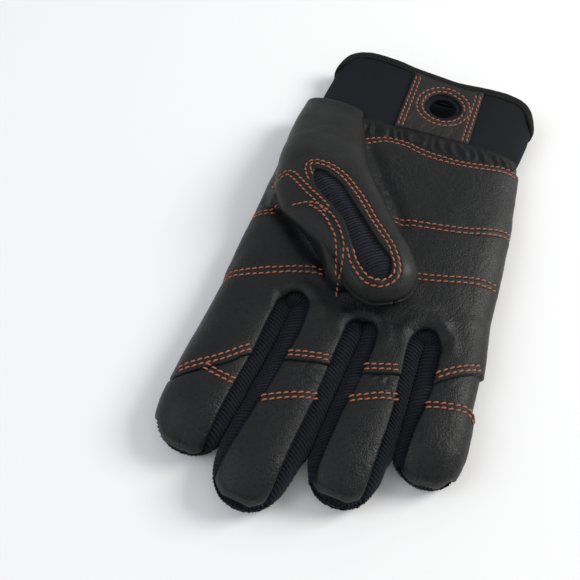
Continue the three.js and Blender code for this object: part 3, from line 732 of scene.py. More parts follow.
def leatherRelief(u, v):  # soft dents and creases, in millimetres over the even surface
    relief = 0.38 * noise(u, v, 21, 3) + 0.13 * noise(u, v, 8, 4) + 0.03 * noise(u, v, 2.2, 5)
    for bend in palmBends:
        relief = relief + bend["high"] * np.exp(-(lineDistance(u, v, bend["line"]) / bend["wide"]) ** 2)
    for k, crease in enumerate(palmWrinkles):
        du, dv = (u - crease["at"][0]) / crease["reach"][0], (v - crease["at"][1]) / crease["reach"][1]
        worn = 0.55 * crease["deep"] * np.exp(-(du ** 2 + dv ** 2))
        lines = creases(u, v, crease["size"], crease["stretch"], crease["turn"], 40 + k)
        relief = relief + worn * (0.3 + lines)
    for head in slotHeads:
        out = np.hypot((u - head[0]) / slotRim["stretch"], v - head[1]) - slotRim["out"]
        rim = slotRim["high"] * np.exp(-(out / slotRim["wide"]) ** 2)
        relief = relief + rim * smoothstep(-9, 1, v - head[1])
    return relief


def laid(u, v, lift):  # the hand's surface lifted along its normal
    way = normals(handPoint, u, v)
    return handPoint(u, v) + way * np.asarray(lift)[..., None], way


# A layer of leather goes from thick to thin over its edge, and down to sink at the slots over slotEdge. hem
# is what its side leaves free above the back seam, pastRow and pastWrist how far it goes past the stitches.
palmOverlayCut = {"step": 0.5, "hem": 3.5, "pastRow": 2.9, "pastWrist": 2.6, "edge": 1.2, "thick": 1.5,
                  "thin": 0.15, "sink": -1.1, "slotEdge": 1.5, "seamDeep": 0.3}
fingerBounds = [-23.5, 7.5, 33.5]  # where one finger gives way to the next, across the hand
trim = 0.1  # between the leather's edge and the knit's


def byFinger(x, values):  # one value for each place, chosen by the finger that it lies on
    return np.select([x < bound for bound in fingerBounds], values[:3], values[3])


def pastLine(line, u, v):  # distance on the cuff side of a line across the hand
    slope = np.gradient(line[:, 1], line[:, 0] + 1e-6 * np.arange(len(line)))
    order = np.argsort(line[:, 0])
    steep = np.interp(u, line[order, 0], slope[order])
    return (v - np.interp(u, line[order, 0], line[order, 1])) / np.hypot(1, np.clip(steep, -2, 2))


def overlayRoom(u, v):
    cut = palmOverlayCut
    low = byFinger(u, [pastLine(handSeams[name + "Joint"]["middle"], u, v) for name in fingerNames])
    top = cut["pastWrist"] - pastLine(handSeams["wrist"]["middle"], u, v)
    return np.minimum.reduce([low + cut["pastRow"], top, sideRoom(u, v, cut["hem"])])


def overlayInside(u, v):
    return np.minimum(overlayRoom(u, v), slotRoom(u, v) - trim)


def overlayLift(u, v):
    cut = palmOverlayCut
    lift = np.minimum(rolled(overlayRoom(u, v), cut["thick"], cut["thin"], cut["edge"]),
                      rolled(slotRoom(u, v), cut["thick"], cut["sink"], cut["slotEdge"]))
    return lift + leatherRelief(u, v) - cut["seamDeep"] * handDents(u, v)


# The second layer of palm leather, from the wrist to below each first finger joint.
palmOverlay = cutSheet("palm_second_layer", (-66, 66), (-56, 104), palmOverlayCut["step"], overlayInside,
                       lambda u, v: laid(u, v, overlayLift(u, v)))
finished(palmOverlay, grained, "leather", "palm_overlay")

# The second layer on each fingertip: clear is its gap from the palm's, groove the depth of its pressed hem,
# span its flat room and over how far it is drawn over the finger's end.
tipCut = {"step": 0.42, "hem": 3.5, "pastRow": 1.9, "clear": 0.3, "edge": 1.1, "thick": 1.5, "thin": 0.15,
          "seamDeep": 0.3, "groove": 0.32, "grooveAt": 1.9}
tips = {"index": {"span": ((-62, -28), (-80, -38)), "over": 2.2},
        "middle": {"span": ((-30, 8), (-90, -34)), "over": 0.9},
        "ring": {"span": ((4, 36), (-78, -25)), "over": 0.4},
        "little": {"span": ((32, 68), (-60, -20)), "over": 2.2}}


def tipShare(finger, x, y, start=0.86, full=0.99):  # 0 along the finger to 1 at its end
    return smoothstep(start, full, fingerPlace(finger, x, y)[0])


def tipPiece(name):
    finger = fingers[name]
    seam = handSeams[name + "Tip"]["middle"]
    if name == "little":  # its seam turns down the side of the hand at the end
        seam = seam[:int(len(seam) * 0.8)]

    def room(u, v):
        below = tipCut["pastRow"] - pastLine(seam, u, v)
        above = -pastLine(handSeams[name + "Joint"]["middle"], u, v) - palmOverlayCut["pastRow"]
        return np.minimum.reduce([below, above - tipCut["clear"], sideRoom(u, v, tipCut["hem"])])

    def inside(u, v):
        return np.minimum(room(u, v), slotRoom(u, v) - trim)

    def lift(u, v):
        place, edge = handPoint(u, v), slotRoom(u, v) - trim
        end = tipShare(finger, place[..., 0], place[..., 1])
        flat = rolled(room(u, v), tipCut["thick"], tipCut["thin"], tipCut["edge"])
        turned = rolled(edge, tipCut["thick"], -0.9 - 1.7 * end, 1.5 + 2.0 * end)
        pressed = tipCut["groove"] * end * np.exp(-((edge - tipCut["grooveAt"]) / 0.5) ** 2)
        return np.minimum(flat, turned) + leatherRelief(u, v) - tipCut["seamDeep"] * handDents(u, v) - pressed

    def shape(u, v):
        points, way = laid(u, v, lift(u, v))
        place = handPoint(u, v)
        end = tipShare(finger, place[..., 0], place[..., 1], 0.78, 1.0)
        return points + np.array([0, -1.0, -1.0]) * (tips[name]["over"] * end)[..., None], way

    piece = cutSheet(name + "_tip_layer", *tips[name]["span"], tipCut["step"], inside, shape)
    finished(piece, grained, "leather", name + "_tip_overlay")


for name in fingerNames:
    tipPiece(name)

# The first layer of leather, seen between the second ones and along the hand's outer sides.
palmLeatherCut = {"step": 0.55, "under": 4.0, "hem": 0.3, "short": 0.6, "sink": -1.5, "slotEdge": 1.2}


def firstInside(u, v):
    under = palmLeatherCut["under"] - overlayRoom(u, v)
    wrist = hand["length"] - palmLeatherCut["short"] - v
    return np.minimum.reduce([slotRoom(u, v) - trim, sideRoom(u, v, palmLeatherCut["hem"]), under, wrist])


def firstLift(u, v):
    return rolled(slotRoom(u, v), 0, palmLeatherCut["sink"], palmLeatherCut["slotEdge"]) + leatherRelief(u, v)


palmLeather = cutSheet("palm_first_layer", (-70, 70), (-88, 108), palmLeatherCut["step"], firstInside,
                       lambda u, v: laid(u, v, firstLift(u, v)))
finished(palmLeather, grained, "leather", "palm_leather")

# The knitted walls between the fingers: each is one ribbed strip, from a fingertip round the slot to the
# next. sink and tuck are how far it starts below and behind the leather's edge, apartAt is where a finger's
# wall stops sharing the valley with its neighbour's, and foot is the height where it ends.
wall = {"rib": 1.5, "ribHigh": 0.5, "step": 0.25, "sink": 0.9, "tuck": 1.4, "bulge": 0.7, "foot": 3.4,
        "apartAt": (-50, -60, -50),
        "valley": ([(-23.5, -8), (-25, -30), (-27.0, -50), (-28.5, -70)],
                   [(7.8, -8), (6.2, -30), (4.8, -50), (4.2, -75)],
                   [(32.6, -8), (33.0, -30), (33.5, -50), (34, -70)])}


def ribs(place):  # 0 in a groove to 1 on a rib
    return np.abs(np.cos(math.pi * place / wall["rib"])) ** 0.8


def toOutline(finger, points, way):  # distance along a direction to the finger's outline
    near, far, last = np.zeros(len(points)), np.full(len(points), 14.0), 1.0099
    for _ in range(24):
        middle = (near + far) / 2
        at = points + way * middle[:, None]
        along, lateral = fingerPlace(finger, at[:, 0], at[:, 1])
        half = fingerSize(finger, np.clip(along, hand["fingerFrom"], last))[0]
        inside = (np.abs(lateral) < half) & (along < last)
        near, far = np.where(inside, middle, near), np.where(inside, far, middle)
    return near


def knitWall(i):
    left, right = fingers[fingerNames[i]], fingers[fingerNames[i + 1]]
    line = evenly(slotLines[i], wall["step"])
    count, headAt = len(line), int(np.argmax(line[:, 1]))
    way = unit(np.gradient(line, axis=0))
    out = np.stack([way[:, 1], -way[:, 0]], axis=1)
    for _ in range(12):
        out[1:-1] = (out[:-2] + out[1:-1] + out[2:]) / 3
    out = unit(out)
    onLeft = np.arange(count) < headAt
    own = line + out * np.where(onLeft, toOutline(left, line, out), toOutline(right, line, out))[:, None]
    start, apartAt = line[headAt, 1] - 6.0, wall["apartAt"][i]  # two walls share the valley between these
    valley = np.array(wall["valley"][i], float)
    down = np.minimum(line[:, 1] - 1.2, start)
    shared = np.stack([np.interp(-down, -valley[:, 1], valley[:, 0]), down], axis=1)
    together = smoothstep(apartAt - 9, apartAt + 5, line[:, 1])
    target = own * (1 - together[:, None]) + shared * together[:, None]
    side = hand["belly"] * hand["fingerThickness"]
    deep = np.interp(down, [apartAt, start - 16, start - 5, start], [side, side + 0.5, 8.5, 11.0])
    targetZ = side * (1 - together) + deep * together
    sink = 1.7 * np.where(onLeft, tipShare(left, *line.T), tipShare(right, *line.T))
    edgeZ = handTop(*line.T) - sink
    tuck = line - out * wall["tuck"]
    rows = [np.column_stack([tuck, handTop(*tuck.T) - wall["sink"] - 0.7 - sink])]
    for q in np.linspace(0, 1, 24):
        share = np.sin(q * math.pi / 2)
        level = 1 - np.sqrt(np.maximum(1 - share ** 2.0, 0))
        at = line + (target - line) * share + out * (wall["bulge"] * math.sin(q * math.pi) * (0.4 + 0.6 * q))
        rows.append(np.column_stack([at, (edgeZ - wall["sink"]) * (1 - level) + targetZ * level]))
    for drop in (0.25, 0.5, 0.75, 1.0):
        z = targetZ * (1 - drop) + wall["foot"] * drop
        rows.append(np.column_stack([target - out * (0.5 * drop), z]))
    points = np.array(rows)
    runs = np.linalg.norm(np.diff(points, axis=0), axis=2)
    across = np.vstack([np.zeros(count), np.cumsum(runs, axis=0)])
    along = np.broadcast_to(np.arange(count) * wall["step"], across.shape)
    normal = unit(np.cross(np.gradient(points, axis=0), np.gradient(points, axis=1)))
    past = (headAt - np.arange(count)) * wall["step"]  # the ribs slant into the valley, more so near the tips
    slant = np.tanh(past / 5) * (0.03 + 0.3 * smoothstep(8, 45, np.abs(past)))
    rib = ribs(along + slant * across + 0.25 * noise(along, across, 9, 70 + i))
    loose = 0.35 * noise(along, across, 8, 80 + i)
    lift = wall["ribHigh"] * (rib - 0.5) * 1.6 + loose * smoothstep(0, 3, across)
    points = points + normal * lift[..., None]
    piece = laidGrid("knit_wall_" + str(i + 1), points, np.stack([along, across], axis=2))
    piece.data.flip_normals()  # its rows run downwards
    finished(piece, knit, "knit", fingerNames[i] + "_" + fingerNames[i + 1] + "_gusset")


for i in range(3):
    knitWall(i)

# The cuff's form: a flat tube past the wrist seam, cut along the bound edge. low is its height over the
# floor, under how far its wall ends inside the tape, and patchX and holeY are the middle of the clip-in hole.
cuff = {"length": 50.0, "width": 107.0, "thickness": 15.0, "low": 0.7, "wall": 2.4, "around": 420,
        "tape": 4.6, "under": 1.6, "patchX": 8.5, "patchWidth": 35.0, "holeY": 129.5, "leatherHole": 9.2,
        "neopreneHole": 6.8}
cuffTable = np.array([  # along, middle, half width, thickness
    [0.0, -0.014, 0.985, 1.0], [0.4, 0.004, 0.995, 0.98], [1.0, 0.014, 1.01, 1.05]])
cuffEdge = np.array([  # across, how much shorter
    [-1.1, 0.42], [-0.985, 0.2], [-0.93, 0.07], [-0.84, 0.015], [-0.7, 0.0], [-0.45, 0.03], [-0.2, 0.09],
    [0.15, 0.155], [0.45, 0.15], [0.7, 0.15], [0.86, 0.18], [0.96, 0.27], [1.02, 0.42], [1.1, 0.7]])


def cuffSize(y):
    along = np.clip((np.asarray(y, float) - hand["length"]) / cuff["length"], -0.1, 1)
    return (hermite(cuffTable, 1, along) * cuff["width"], hermite(cuffTable, 2, along) * cuff["width"] / 2,
            hermite(cuffTable, 3, along) * cuff["thickness"])


def edgeY(x):  # how high the bound edge lies
    across = np.clip(x / (cuff["width"] / 2), -1.1, 1.1)
    return hand["length"] + cuff["length"] * (1 - hermite(cuffEdge, 1, across))


def shortOfEdge(x, y):  # distance short of the bound edge
    slope = (edgeY(x + 0.3) - edgeY(x - 0.3)) / 0.6
    return (edgeY(x) - y) / np.hypot(1, np.clip(slope, -3, 3))


def cuffTop(x, y):
    middle, half, high = cuffSize(y)
    share = np.abs((x - middle) / half)
    rise = hand["belly"] + (1 - hand["belly"]) * crown(share, hand["palmSide"], hand["topRound"])
    return np.where((share > 1) | (y < hand["length"] - 1), hand["nothing"], cuff["low"] + high * rise)


def cuffPoint(turn, y):  # point of the tube at an angle round it, from its back's middle over the thumb side
    middle, half, high = cuffSize(y)
    cos, sin = -np.sin(turn), -np.cos(turn)
    belly = cuff["low"] + hand["belly"] * high
    up = belly + (cuff["low"] + high - belly) * np.abs(sin) ** (2 / hand["topRound"])
    down = belly - (belly - cuff["low"]) * np.abs(sin) ** (2 / hand["backRound"])
    out = half * np.sign(cos) * np.abs(cos) ** (2 / hand["palmSide"])
    return np.stack([middle + out, y, np.where(sin > 0, up, down)], axis=-1)


def edgePoints(turns):  # points of the bound edge at angles round the tube
    y = np.full(len(turns), 150.0)
    for _ in range(6):
        y = edgeY(cuffPoint(turns, y)[:, 0])
    return cuffPoint(turns, y)


def evenTurns(line, turns, count):  # the angles at even steps of a closed line, and the line's length
    run = runOf(line)
    return np.interp(np.linspace(0, run[-1], count), run, turns), run[-1]


# The thumb and the fold of leather at its root, as tubes bent over the palm.
# hemAt and hemSlant place the thumb's hem over the cuff, and drape is what lies between it and the palm.
thumb = {"width": 30.0, "thickness": 14.0, "length": 128.0, "girth": 86.0, "rings": 320, "around": 260,
         "hemAt": (-27.1, 111.2), "hemSlant": 0.064, "drape": 2.4}
thumbTable = np.array([  # along, x, y, width, rise, height
    [-0.06, -0.392, 1.1, 0.84, 0.5, 0.7], [0.0, -0.385, 1.03, 0.94, 0.46, 0.8],
    [0.15, -0.362, 0.875, 1.1, 0.52, 1.0], [0.3, -0.32, 0.715, 1.18, 0.72, 1.1],
    [0.45, -0.25, 0.55, 1.12, 1.0, 1.06], [0.58, -0.155, 0.41, 1.04, 1.16, 1.0],
    [0.75, -0.035, 0.255, 1.0, 1.18, 1.0], [0.87, 0.055, 0.145, 0.98, 1.18, 0.96],
    [0.94, 0.1, 0.09, 0.87, 1.18, 0.87], [0.98, 0.125, 0.058, 0.64, 1.21, 0.66],
    [1.0, 0.137, 0.042, 0.36, 1.3, 0.4], [1.012, 0.142, 0.034, 0.02, 1.46, 0.06]])
thumbFlank = np.array([  # along, how much wider on its outer side, in millimetres
    [-0.1, 0.0], [0.12, 0.0], [0.25, 1.5], [0.36, 5.0], [0.45, 8.5], [0.52, 9.0], [0.6, 6.0], [0.7, 2.5],
    [0.8, 0.0]])
web = {"width": 18.0, "thickness": 14.0, "length": 70.0, "girth": 56.0, "rings": 190, "around": 170}
webTable = np.array([
    [0.0, -0.49, 0.435, 0.5, 0.3, 0.7], [0.15, -0.43, 0.425, 0.92, 0.4, 0.98],
    [0.35, -0.33, 0.385, 1.1, 0.62, 1.02], [0.55, -0.225, 0.29, 1.1, 0.8, 1.0],
    [0.75, -0.135, 0.18, 1.0, 0.92, 0.94], [0.92, -0.08, 0.085, 0.8, 1.0, 0.8],
    [1.0, -0.06, 0.045, 0.4, 1.1, 0.5], [1.03, -0.055, 0.035, 0.03, 1.3, 0.08]])
webFlank = np.array([
    [0.0, 3.0], [0.12, 0.0], [0.3, -3.4], [0.6, -5.0], [0.85, -4.5], [1.0, -1.5], [1.03, 0.0]])


def spine(table, size, along):  # middle line, direction, half width, underside and height
    x = hermite(table, 1, along) * hand["width"]
    y = hermite(table, 2, along) * hand["length"]
    dx = (hermite(table, 1, along + 0.01) - hermite(table, 1, along - 0.01)) * hand["width"]
    dy = (hermite(table, 2, along + 0.01) - hermite(table, 2, along - 0.01)) * hand["length"]
    run = np.hypot(dx, dy)
    half = np.maximum(hermite(table, 3, along) * size["width"] / 2, 0.05)
    low = hermite(table, 4, along) * hand["thickness"]
    high = np.maximum(hermite(table, 5, along) * size["thickness"], 0.1)
    return x, y, dx / run, dy / run, half, low, high


def bentTube(table, size, flank):  # rings at even steps round from the underside's middle, over -u first
    start, end = table[0, 0], table[-1, 0]
    t = np.linspace(0, 1, size["rings"])
    along = start + (end - start) * (1 - (1 - t) ** 1.3)  # closer together towards the tip
    x, y, dx, dy, half, low, high = spine(table, size, along)
    theta = np.linspace(-math.pi / 2, -2.5 * math.pi, 721)
    cos, sin = np.cos(theta), np.sin(theta)
    rings, laterals = [], []
    for k in range(len(along)):
        lateral = half[k] * np.sign(cos) * np.abs(cos) ** (2 / hand["fingerSide"])
        belly = low[k] + hand["belly"] * high[k]
        z = np.where(sin > 0, belly + (low[k] + high[k] - belly) * np.abs(sin) ** (2 / hand["topRound"]),
                     belly - (belly - low[k]) * np.abs(sin) ** (2 / hand["fingerSide"]))
        extra = float(np.interp(along[k], flank[:, 0], flank[:, 1]))
        share = np.clip((-lateral / half[k] - 0.2) / 0.8, 0, 1) ** 1.3
        lateral = lateral - extra * share
        z = z - 0.5 * max(extra, 0.0) * share
        section = np.stack([lateral, z], axis=1)
        run = runOf(section)
        lateral, z = atRun(section, run, np.linspace(0, run[-1], size["around"] + 1)).T
        rings.append(np.stack([x[k] - dy[k] * lateral, y[k] + dx[k] * lateral, z], axis=1))
        laterals.append(lateral)
    return along, np.array(rings), np.array(laterals)


def tubeSurface(table, size, flank):  # lookups on a tube laid flat: of point and normal, and of place across
    along, rings, laterals = bentTube(table, size, flank)
    if "drape" in size:  # its root hangs over the palm and the cuff
        x, y, rise = rings[..., 0], rings[..., 1], rings[..., 2]
        upper = smoothstep(0.3, 0.6, (rise - rise.min(axis=1)[:, None]) / np.ptp(rise, axis=1)[:, None])
        under = np.maximum(handTop(x, np.minimum(y, hand["length"])), cuffTop(x, y))
        share = upper * (1 - smoothstep(0.2, 0.5, along)[:, None])
        rings[..., 2] += (smoothMax(rise, under + size["drape"], 4.0) - rise) * share
    across = np.gradient(rings, axis=1)
    across[:, 0] = across[:, -1] = rings[:, 1] - rings[:, -2]
    way = unit(np.cross(np.gradient(rings, axis=0), across))
    rows, cols = np.arange(size["rings"], dtype=float), np.arange(size["around"] + 1, dtype=float)

    def look(values, u, v):
        row = np.interp(v / size["length"], along, rows)
        col = np.clip(u / size["girth"] + 0.5, 0, 1) * size["around"]
        return gridLookup(rows, cols, values, row, col)

    def surface(u, v):
        points = np.stack([look(rings[..., k], u, v) for k in range(3)], axis=-1)
        return points, unit(np.stack([look(way[..., k], u, v) for k in range(3)], axis=-1))

    return surface, lambda u, v: look(laterals, u, v)


# The opening over the thumb's knit, the seam round it and the seams of the fold, as plan points.
window = {
    "opening": [(-34.3, 53.9), (-30.5, 54.1), (-26, 52), (-20.3, 48.4), (-14.6, 41.9), (-9.1, 36),
                (-3.8, 30.5), (1.3, 25), (6.1, 20.8), (9.7, 17.9), (11.3, 13.7), (11.4, 10), (8.7, 7.5),
                (4.6, 7.4), (1.2, 9.3), (-1.8, 12.4), (-4.4, 16.4), (-7.4, 21.3), (-10.2, 25.6), (-13.4, 30),
                (-17.1, 33.5), (-21.1, 37.1), (-25.1, 40.1), (-29.1, 44.2), (-32.1, 47.7)],
    "seam": [(-35, 47.7), (-38.3, 53.3), (-38.9, 57.4), (-36.8, 59.2), (-32.1, 58.9), (-26.1, 57.1),
             (-20, 53.5), (-14.3, 48.4), (-8, 42.1), (-1.4, 34.5), (3.6, 29.5), (8.5, 24.8), (12, 20),
             (14.6, 15.3), (15.3, 11.1), (14.1, 8.3), (11, 5), (6.6, 3.7), (2.9, 4.4), (-0.7, 7),
             (-4.3, 10.6), (-6.5, 14.3), (-7.8, 17)],
    "apart": 2.1, "sink": 1.6, "edge": 1.5, "thick": 0.9, "under": 2.0, "seamDeep": 0.3}
foldSeams = {
    "upper": {"line": [(-53.5, 50.0), (-49.8, 51.2), (-45.3, 52), (-38, 46.2), (-32.9, 42), (-26.1, 36.6),
                       (-20.6, 32)], "apart": 2.3},
    "outer": {"line": [(-38.4, 35.2), (-29.5, 36.1), (-24.3, 34.2), (-19.6, 31.2), (-15.2, 26.8),
                       (-12.1, 22.6), (-9.7, 18.3), (-8.3, 13.4), (-7.3, 8.9), (-7.4, 5), (-6.7, 1.4)]},
    "inner": {"line": [(-30.7, 34.9), (-26.2, 33), (-21.3, 29.3), (-17.8, 25.5), (-14.7, 21.7), (-12.4, 17),
                       (-10.5, 11.6), (-9.7, 8), (-8, 4.2)]},
    "mound": {"line": [(-56.5, 34.3), (-53.7, 35.3), (-49.4, 36.9), (-45.8, 38.1)], "apart": 1.9},
}
openingLine = smoothLine(window["opening"], 0.7, closed=True)[:-1]
windowSeam = smoothLine(window["seam"], 0.5)
windowRows = [windowSeam, beside(windowSeam, -window["apart"])[4:-2]]
foldRows = []
for seam in foldSeams.values():  # a seam with apart has two rows of stitches
    middle = smoothLine(seam["line"], 0.5)
    if "apart" in seam:
        foldRows += [beside(middle, side * seam["apart"] / 2) for side in (-1, 1)]
    else:
        foldRows.append(middle)
thumbDents = seamMap(windowRows + foldRows, (-70, 40), (-15, 80))
thumbSurface, thumbAcross = tubeSurface(thumbTable, thumb, thumbFlank)
webSurface, _ = tubeSurface(webTable, web, webFlank)


def onTop(size, u):  # whether a flat place lies on a tube's upper side
    return np.abs(u) < size["girth"] * 0.27


def hemRoom(x, y):  # distance from the thumb's hem
    return thumb["hemAt"][1] - thumb["hemSlant"] * (x - thumb["hemAt"][0]) - y


def thumbRelief(x, y):
    return 0.35 * noise(x, y, 18, 21) + 0.08 * noise(x, y, 7, 22) + 0.03 * noise(x, y, 2, 23)


def thumbShape(u, v):
    points, way = thumbSurface(u, v)
    x, y, along = points[..., 0], points[..., 1], v / thumb["length"]
    top = onTop(thumb, u)
    room = np.where(top, outlineDistance(x, y, openingLine), 99)
    lift = rolled(room, window["thick"], -window["sink"] + 0.4, window["edge"])
    lift = np.minimum(lift, rolled(np.maximum(hemRoom(x, y), 0), window["thick"], -0.6, 1.4))
    lip = np.exp(-((room - 1.6) / 1.2) ** 2) * smoothstep(-2, -5, thumbAcross(u, v))
    lip = lip * smoothstep(0.5, 0.58, along)
    lift = lift + np.where(top, 0.5 * lip, 0) + thumbRelief(x, y) * smoothstep(1.012, 0.96, along)
    lift = lift - np.where(top, window["seamDeep"] * thumbDents(x, y), 0)
    ridge, groove = np.exp(-((np.abs(u) - 22.5) / 1.3) ** 2), np.exp(-((np.abs(u) - 25.2) / 1.0) ** 2)
    lift = lift + smoothstep(0.74, 0.9, along) * (0.6 * ridge - 0.8 * groove)  # the seam round the tip
    return points + way * lift[..., None], way


def thumbInside(u, v):
    points, _ = thumbSurface(u, v)
    x, y = points[..., 0], points[..., 1]
    return np.minimum(np.where(onTop(thumb, u), outlineDistance(x, y, openingLine) - trim, 99), hemRoom(x, y))


thumbLeather = cutSheet("thumb_cover", (-thumb["girth"] / 2, thumb["girth"] / 2),
                        (-0.06 * thumb["length"], 1.012 * thumb["length"]), 0.5, thumbInside, thumbShape,
                        skirt=1.0, weld=True)
finished(thumbLeather, smooth, "leather", "thumb_leather")


# The knit in the thumb's opening, with ribs across it.
def windowInside(u, v):
    points, _ = thumbSurface(u, v)
    return window["under"] - outlineDistance(points[..., 0], points[..., 1], openingLine)


def windowShape(u, v):
    points, way = thumbSurface(u, v)
    rib = ribs(v + 0.3 * noise(u, v, 8, 90))
    deep = smoothstep(0, 5, -outlineDistance(points[..., 0], points[..., 1], openingLine))
    lift = -window["sink"] + 0.5 + wall["ribHigh"] * 1.4 * (rib - 0.5) + 0.7 * deep
    lift = lift + 0.25 * noise(u, v, 9, 91)
    return points + way * lift[..., None], way


windowKnit = cutSheet("thumb_knit", (-18, 18), (50, 126), 0.3, windowInside, windowShape, skirt=0.5)
finished(windowKnit, knit, "knit", "thumb_window_knit")


# The fold at the thumb's root, drawn into fine wrinkles.
def webRelief(x, y):
    fine = creases(x, y, 1.9, 4.5, 108, 31) + 0.6 * creases(x, y, 3.4, 3.5, 118, 32)
    return 0.3 * noise(x, y, 12, 33) + 0.34 * fine + 0.05 * noise(x, y, 2, 34)


def webShape(u, v):
    points, way = webSurface(u, v)
    x, y, along = points[..., 0], points[..., 1], v / web["length"]
    dents = np.where(onTop(web, u), window["seamDeep"] * thumbDents(x, y), 0)
    lift = 0.5 + webRelief(x, y) * (smoothstep(1.03, 0.95, along) * smoothstep(0.0, 0.3, along)) - dents
    return points + way * lift[..., None], way


webLeather = cutSheet("thumb_fold", (-web["girth"] / 2, web["girth"] / 2), (0, 1.03 * web["length"]), 0.5,
                      lambda u, v: np.full(np.shape(u), 5.0), webShape, skirt=0.8, weld=True)
finished(webLeather, smooth, "leather", "thumb_web")

# The gathered band between the palm's second layer and the cuff.
gather = {"span": (-31, 50.5), "from": 1.6, "over": 0.4, "pitch": 5.0, "high": 1.15, "thick": 1.0,
          "step": 0.45}


def gatherRoom(u, v):
    past = pastLine(handSeams["wrist"]["middle"], u, v) - gather["from"]
    end = hand["length"] + gather["over"] - v
    return np.minimum.reduce([past, end, u - gather["span"][0], gather["span"][1] - u])


def gatherLift(u, v):
    share = np.clip((v - 97) / 11, 0, 1)
    phase = 2 * math.pi * (u + 0.35 * (v - 100) + 3.4 * noise(u, v * 0.6, 9, 51)) / gather["pitch"]
    folds = 0.5 + 0.4 * np.cos(phase) + 0.5 * noise(u, v, 4.2, 52)
    ruffle = 1 + 0.5 * smoothstep(4, -16, u)
    swell = np.sin(np.clip(share * 1.1, 0, 1) * math.pi) ** 0.7
    lift = gather["thick"] + gather["high"] * ruffle * folds * swell
    return np.minimum(lift + 0.1 * noise(u, v, 2, 53), rolled(gatherRoom(u, v), 9, 0.2, 6.0))


gatherPiece = cutSheet("gathered_wrist", (-32, 53), (90, 109), gather["step"], gatherRoom,
                       lambda u, v: laid(u, v, gatherLift(u, v)), skirt=1.2)
finished(gatherPiece, gathered, "leather", "wrist_gather")


# The neoprene cuff: a tube with the clip-in hole cut through its front, given its thickness by a modifier.
ringTurns = np.linspace(0, 2 * math.pi, 2881)
cuffRing = cuffPoint(ringTurns, np.full(len(ringTurns), 130.0))
cuffTurns, cuffGirth = evenTurns(cuffRing, ringTurns, cuff["around"] + 1)


def cuffFlat(u, v):  # point of the cuff's outside; u runs round from the middle of its back
    turn = np.interp(u, np.linspace(0, cuffGirth, cuff["around"] + 1), cuffTurns)
    return cuffPoint(turn, v)


def cuffRelief(x, y):
    sag = 0.55 * noise(x, y, 26, 61) + 0.2 * noise(x, y, 10, 62)
    pinch = -0.5 * np.exp(-((y - hand["length"] - 1.5) / 2.5) ** 2) * (0.6 + 0.6 * noise(x, y, 7, 63))
    return sag + pinch


def cuffShape(u, v):
    points, way = cuffFlat(u, v), normals(cuffFlat, u, v, 0.4)
    return points + way * cuffRelief(points[..., 0], points[..., 1])[..., None], way


def cuffInside(u, v):
    points = cuffFlat(u, v)
    x, y, z = points[..., 0], points[..., 1], points[..., 2]
    hole = np.where(z > 7, np.hypot(x - cuff["patchX"], y - cuff["holeY"]) - cuff["neopreneHole"], 99)
    return np.minimum.reduce([hole, shortOfEdge(x, y) - cuff["under"], y - hand["length"] - 0.3])


cuffPiece = cutSheet("neoprene_cuff", (0, cuffGirth), (108, 158.5), 0.6, cuffInside, cuffShape, skirt=0,
                     weld=True)
wallThick = cuffPiece.modifiers.new("neoprene wall", "SOLIDIFY")
wallThick.thickness = cuff["wall"] / 1000
wallThick.offset = -1.0
wallThick.use_even_offset = True
finished(cuffPiece, neoprene, "neoprene", "cuff_band")

# The tape folded over the cuff's edge: one closed sweep, with the dents of a row of stitches pressed in.
binding = {"turns": 1441, "steps": 700, "wide": cuff["tape"], "stitch": 2.6, "pressed": 0.16, "pucker": 0.12}


def tapeSection():  # off the edge and up, from the palm side's rim over the edge to the inside
    wide, thick = binding["wide"], cuff["wall"]
    return smoothLine([(-wide, -0.5), (-wide + 0.05, 0.15), (-wide + 0.3, 0.55), (-wide + 0.75, 0.74),
                       (-wide + 1.15, 0.62), (-wide + 1.4, 0.42), (-wide + 1.65, 0.62), (-wide + 2.1, 0.8),
                       (-wide + 2.8, 0.86), (-1.0, 0.84), (-0.45, 0.66), (-0.12, 0.3), (0.05, -0.25),
                       (0.08, -thick / 2), (0.05, -thick + 0.2), (-0.3, -thick - 0.5), (-1.0, -thick - 0.7),
                       (-wide + 0.6, -thick - 0.7), (-wide, -thick - 0.3)], 0.16)


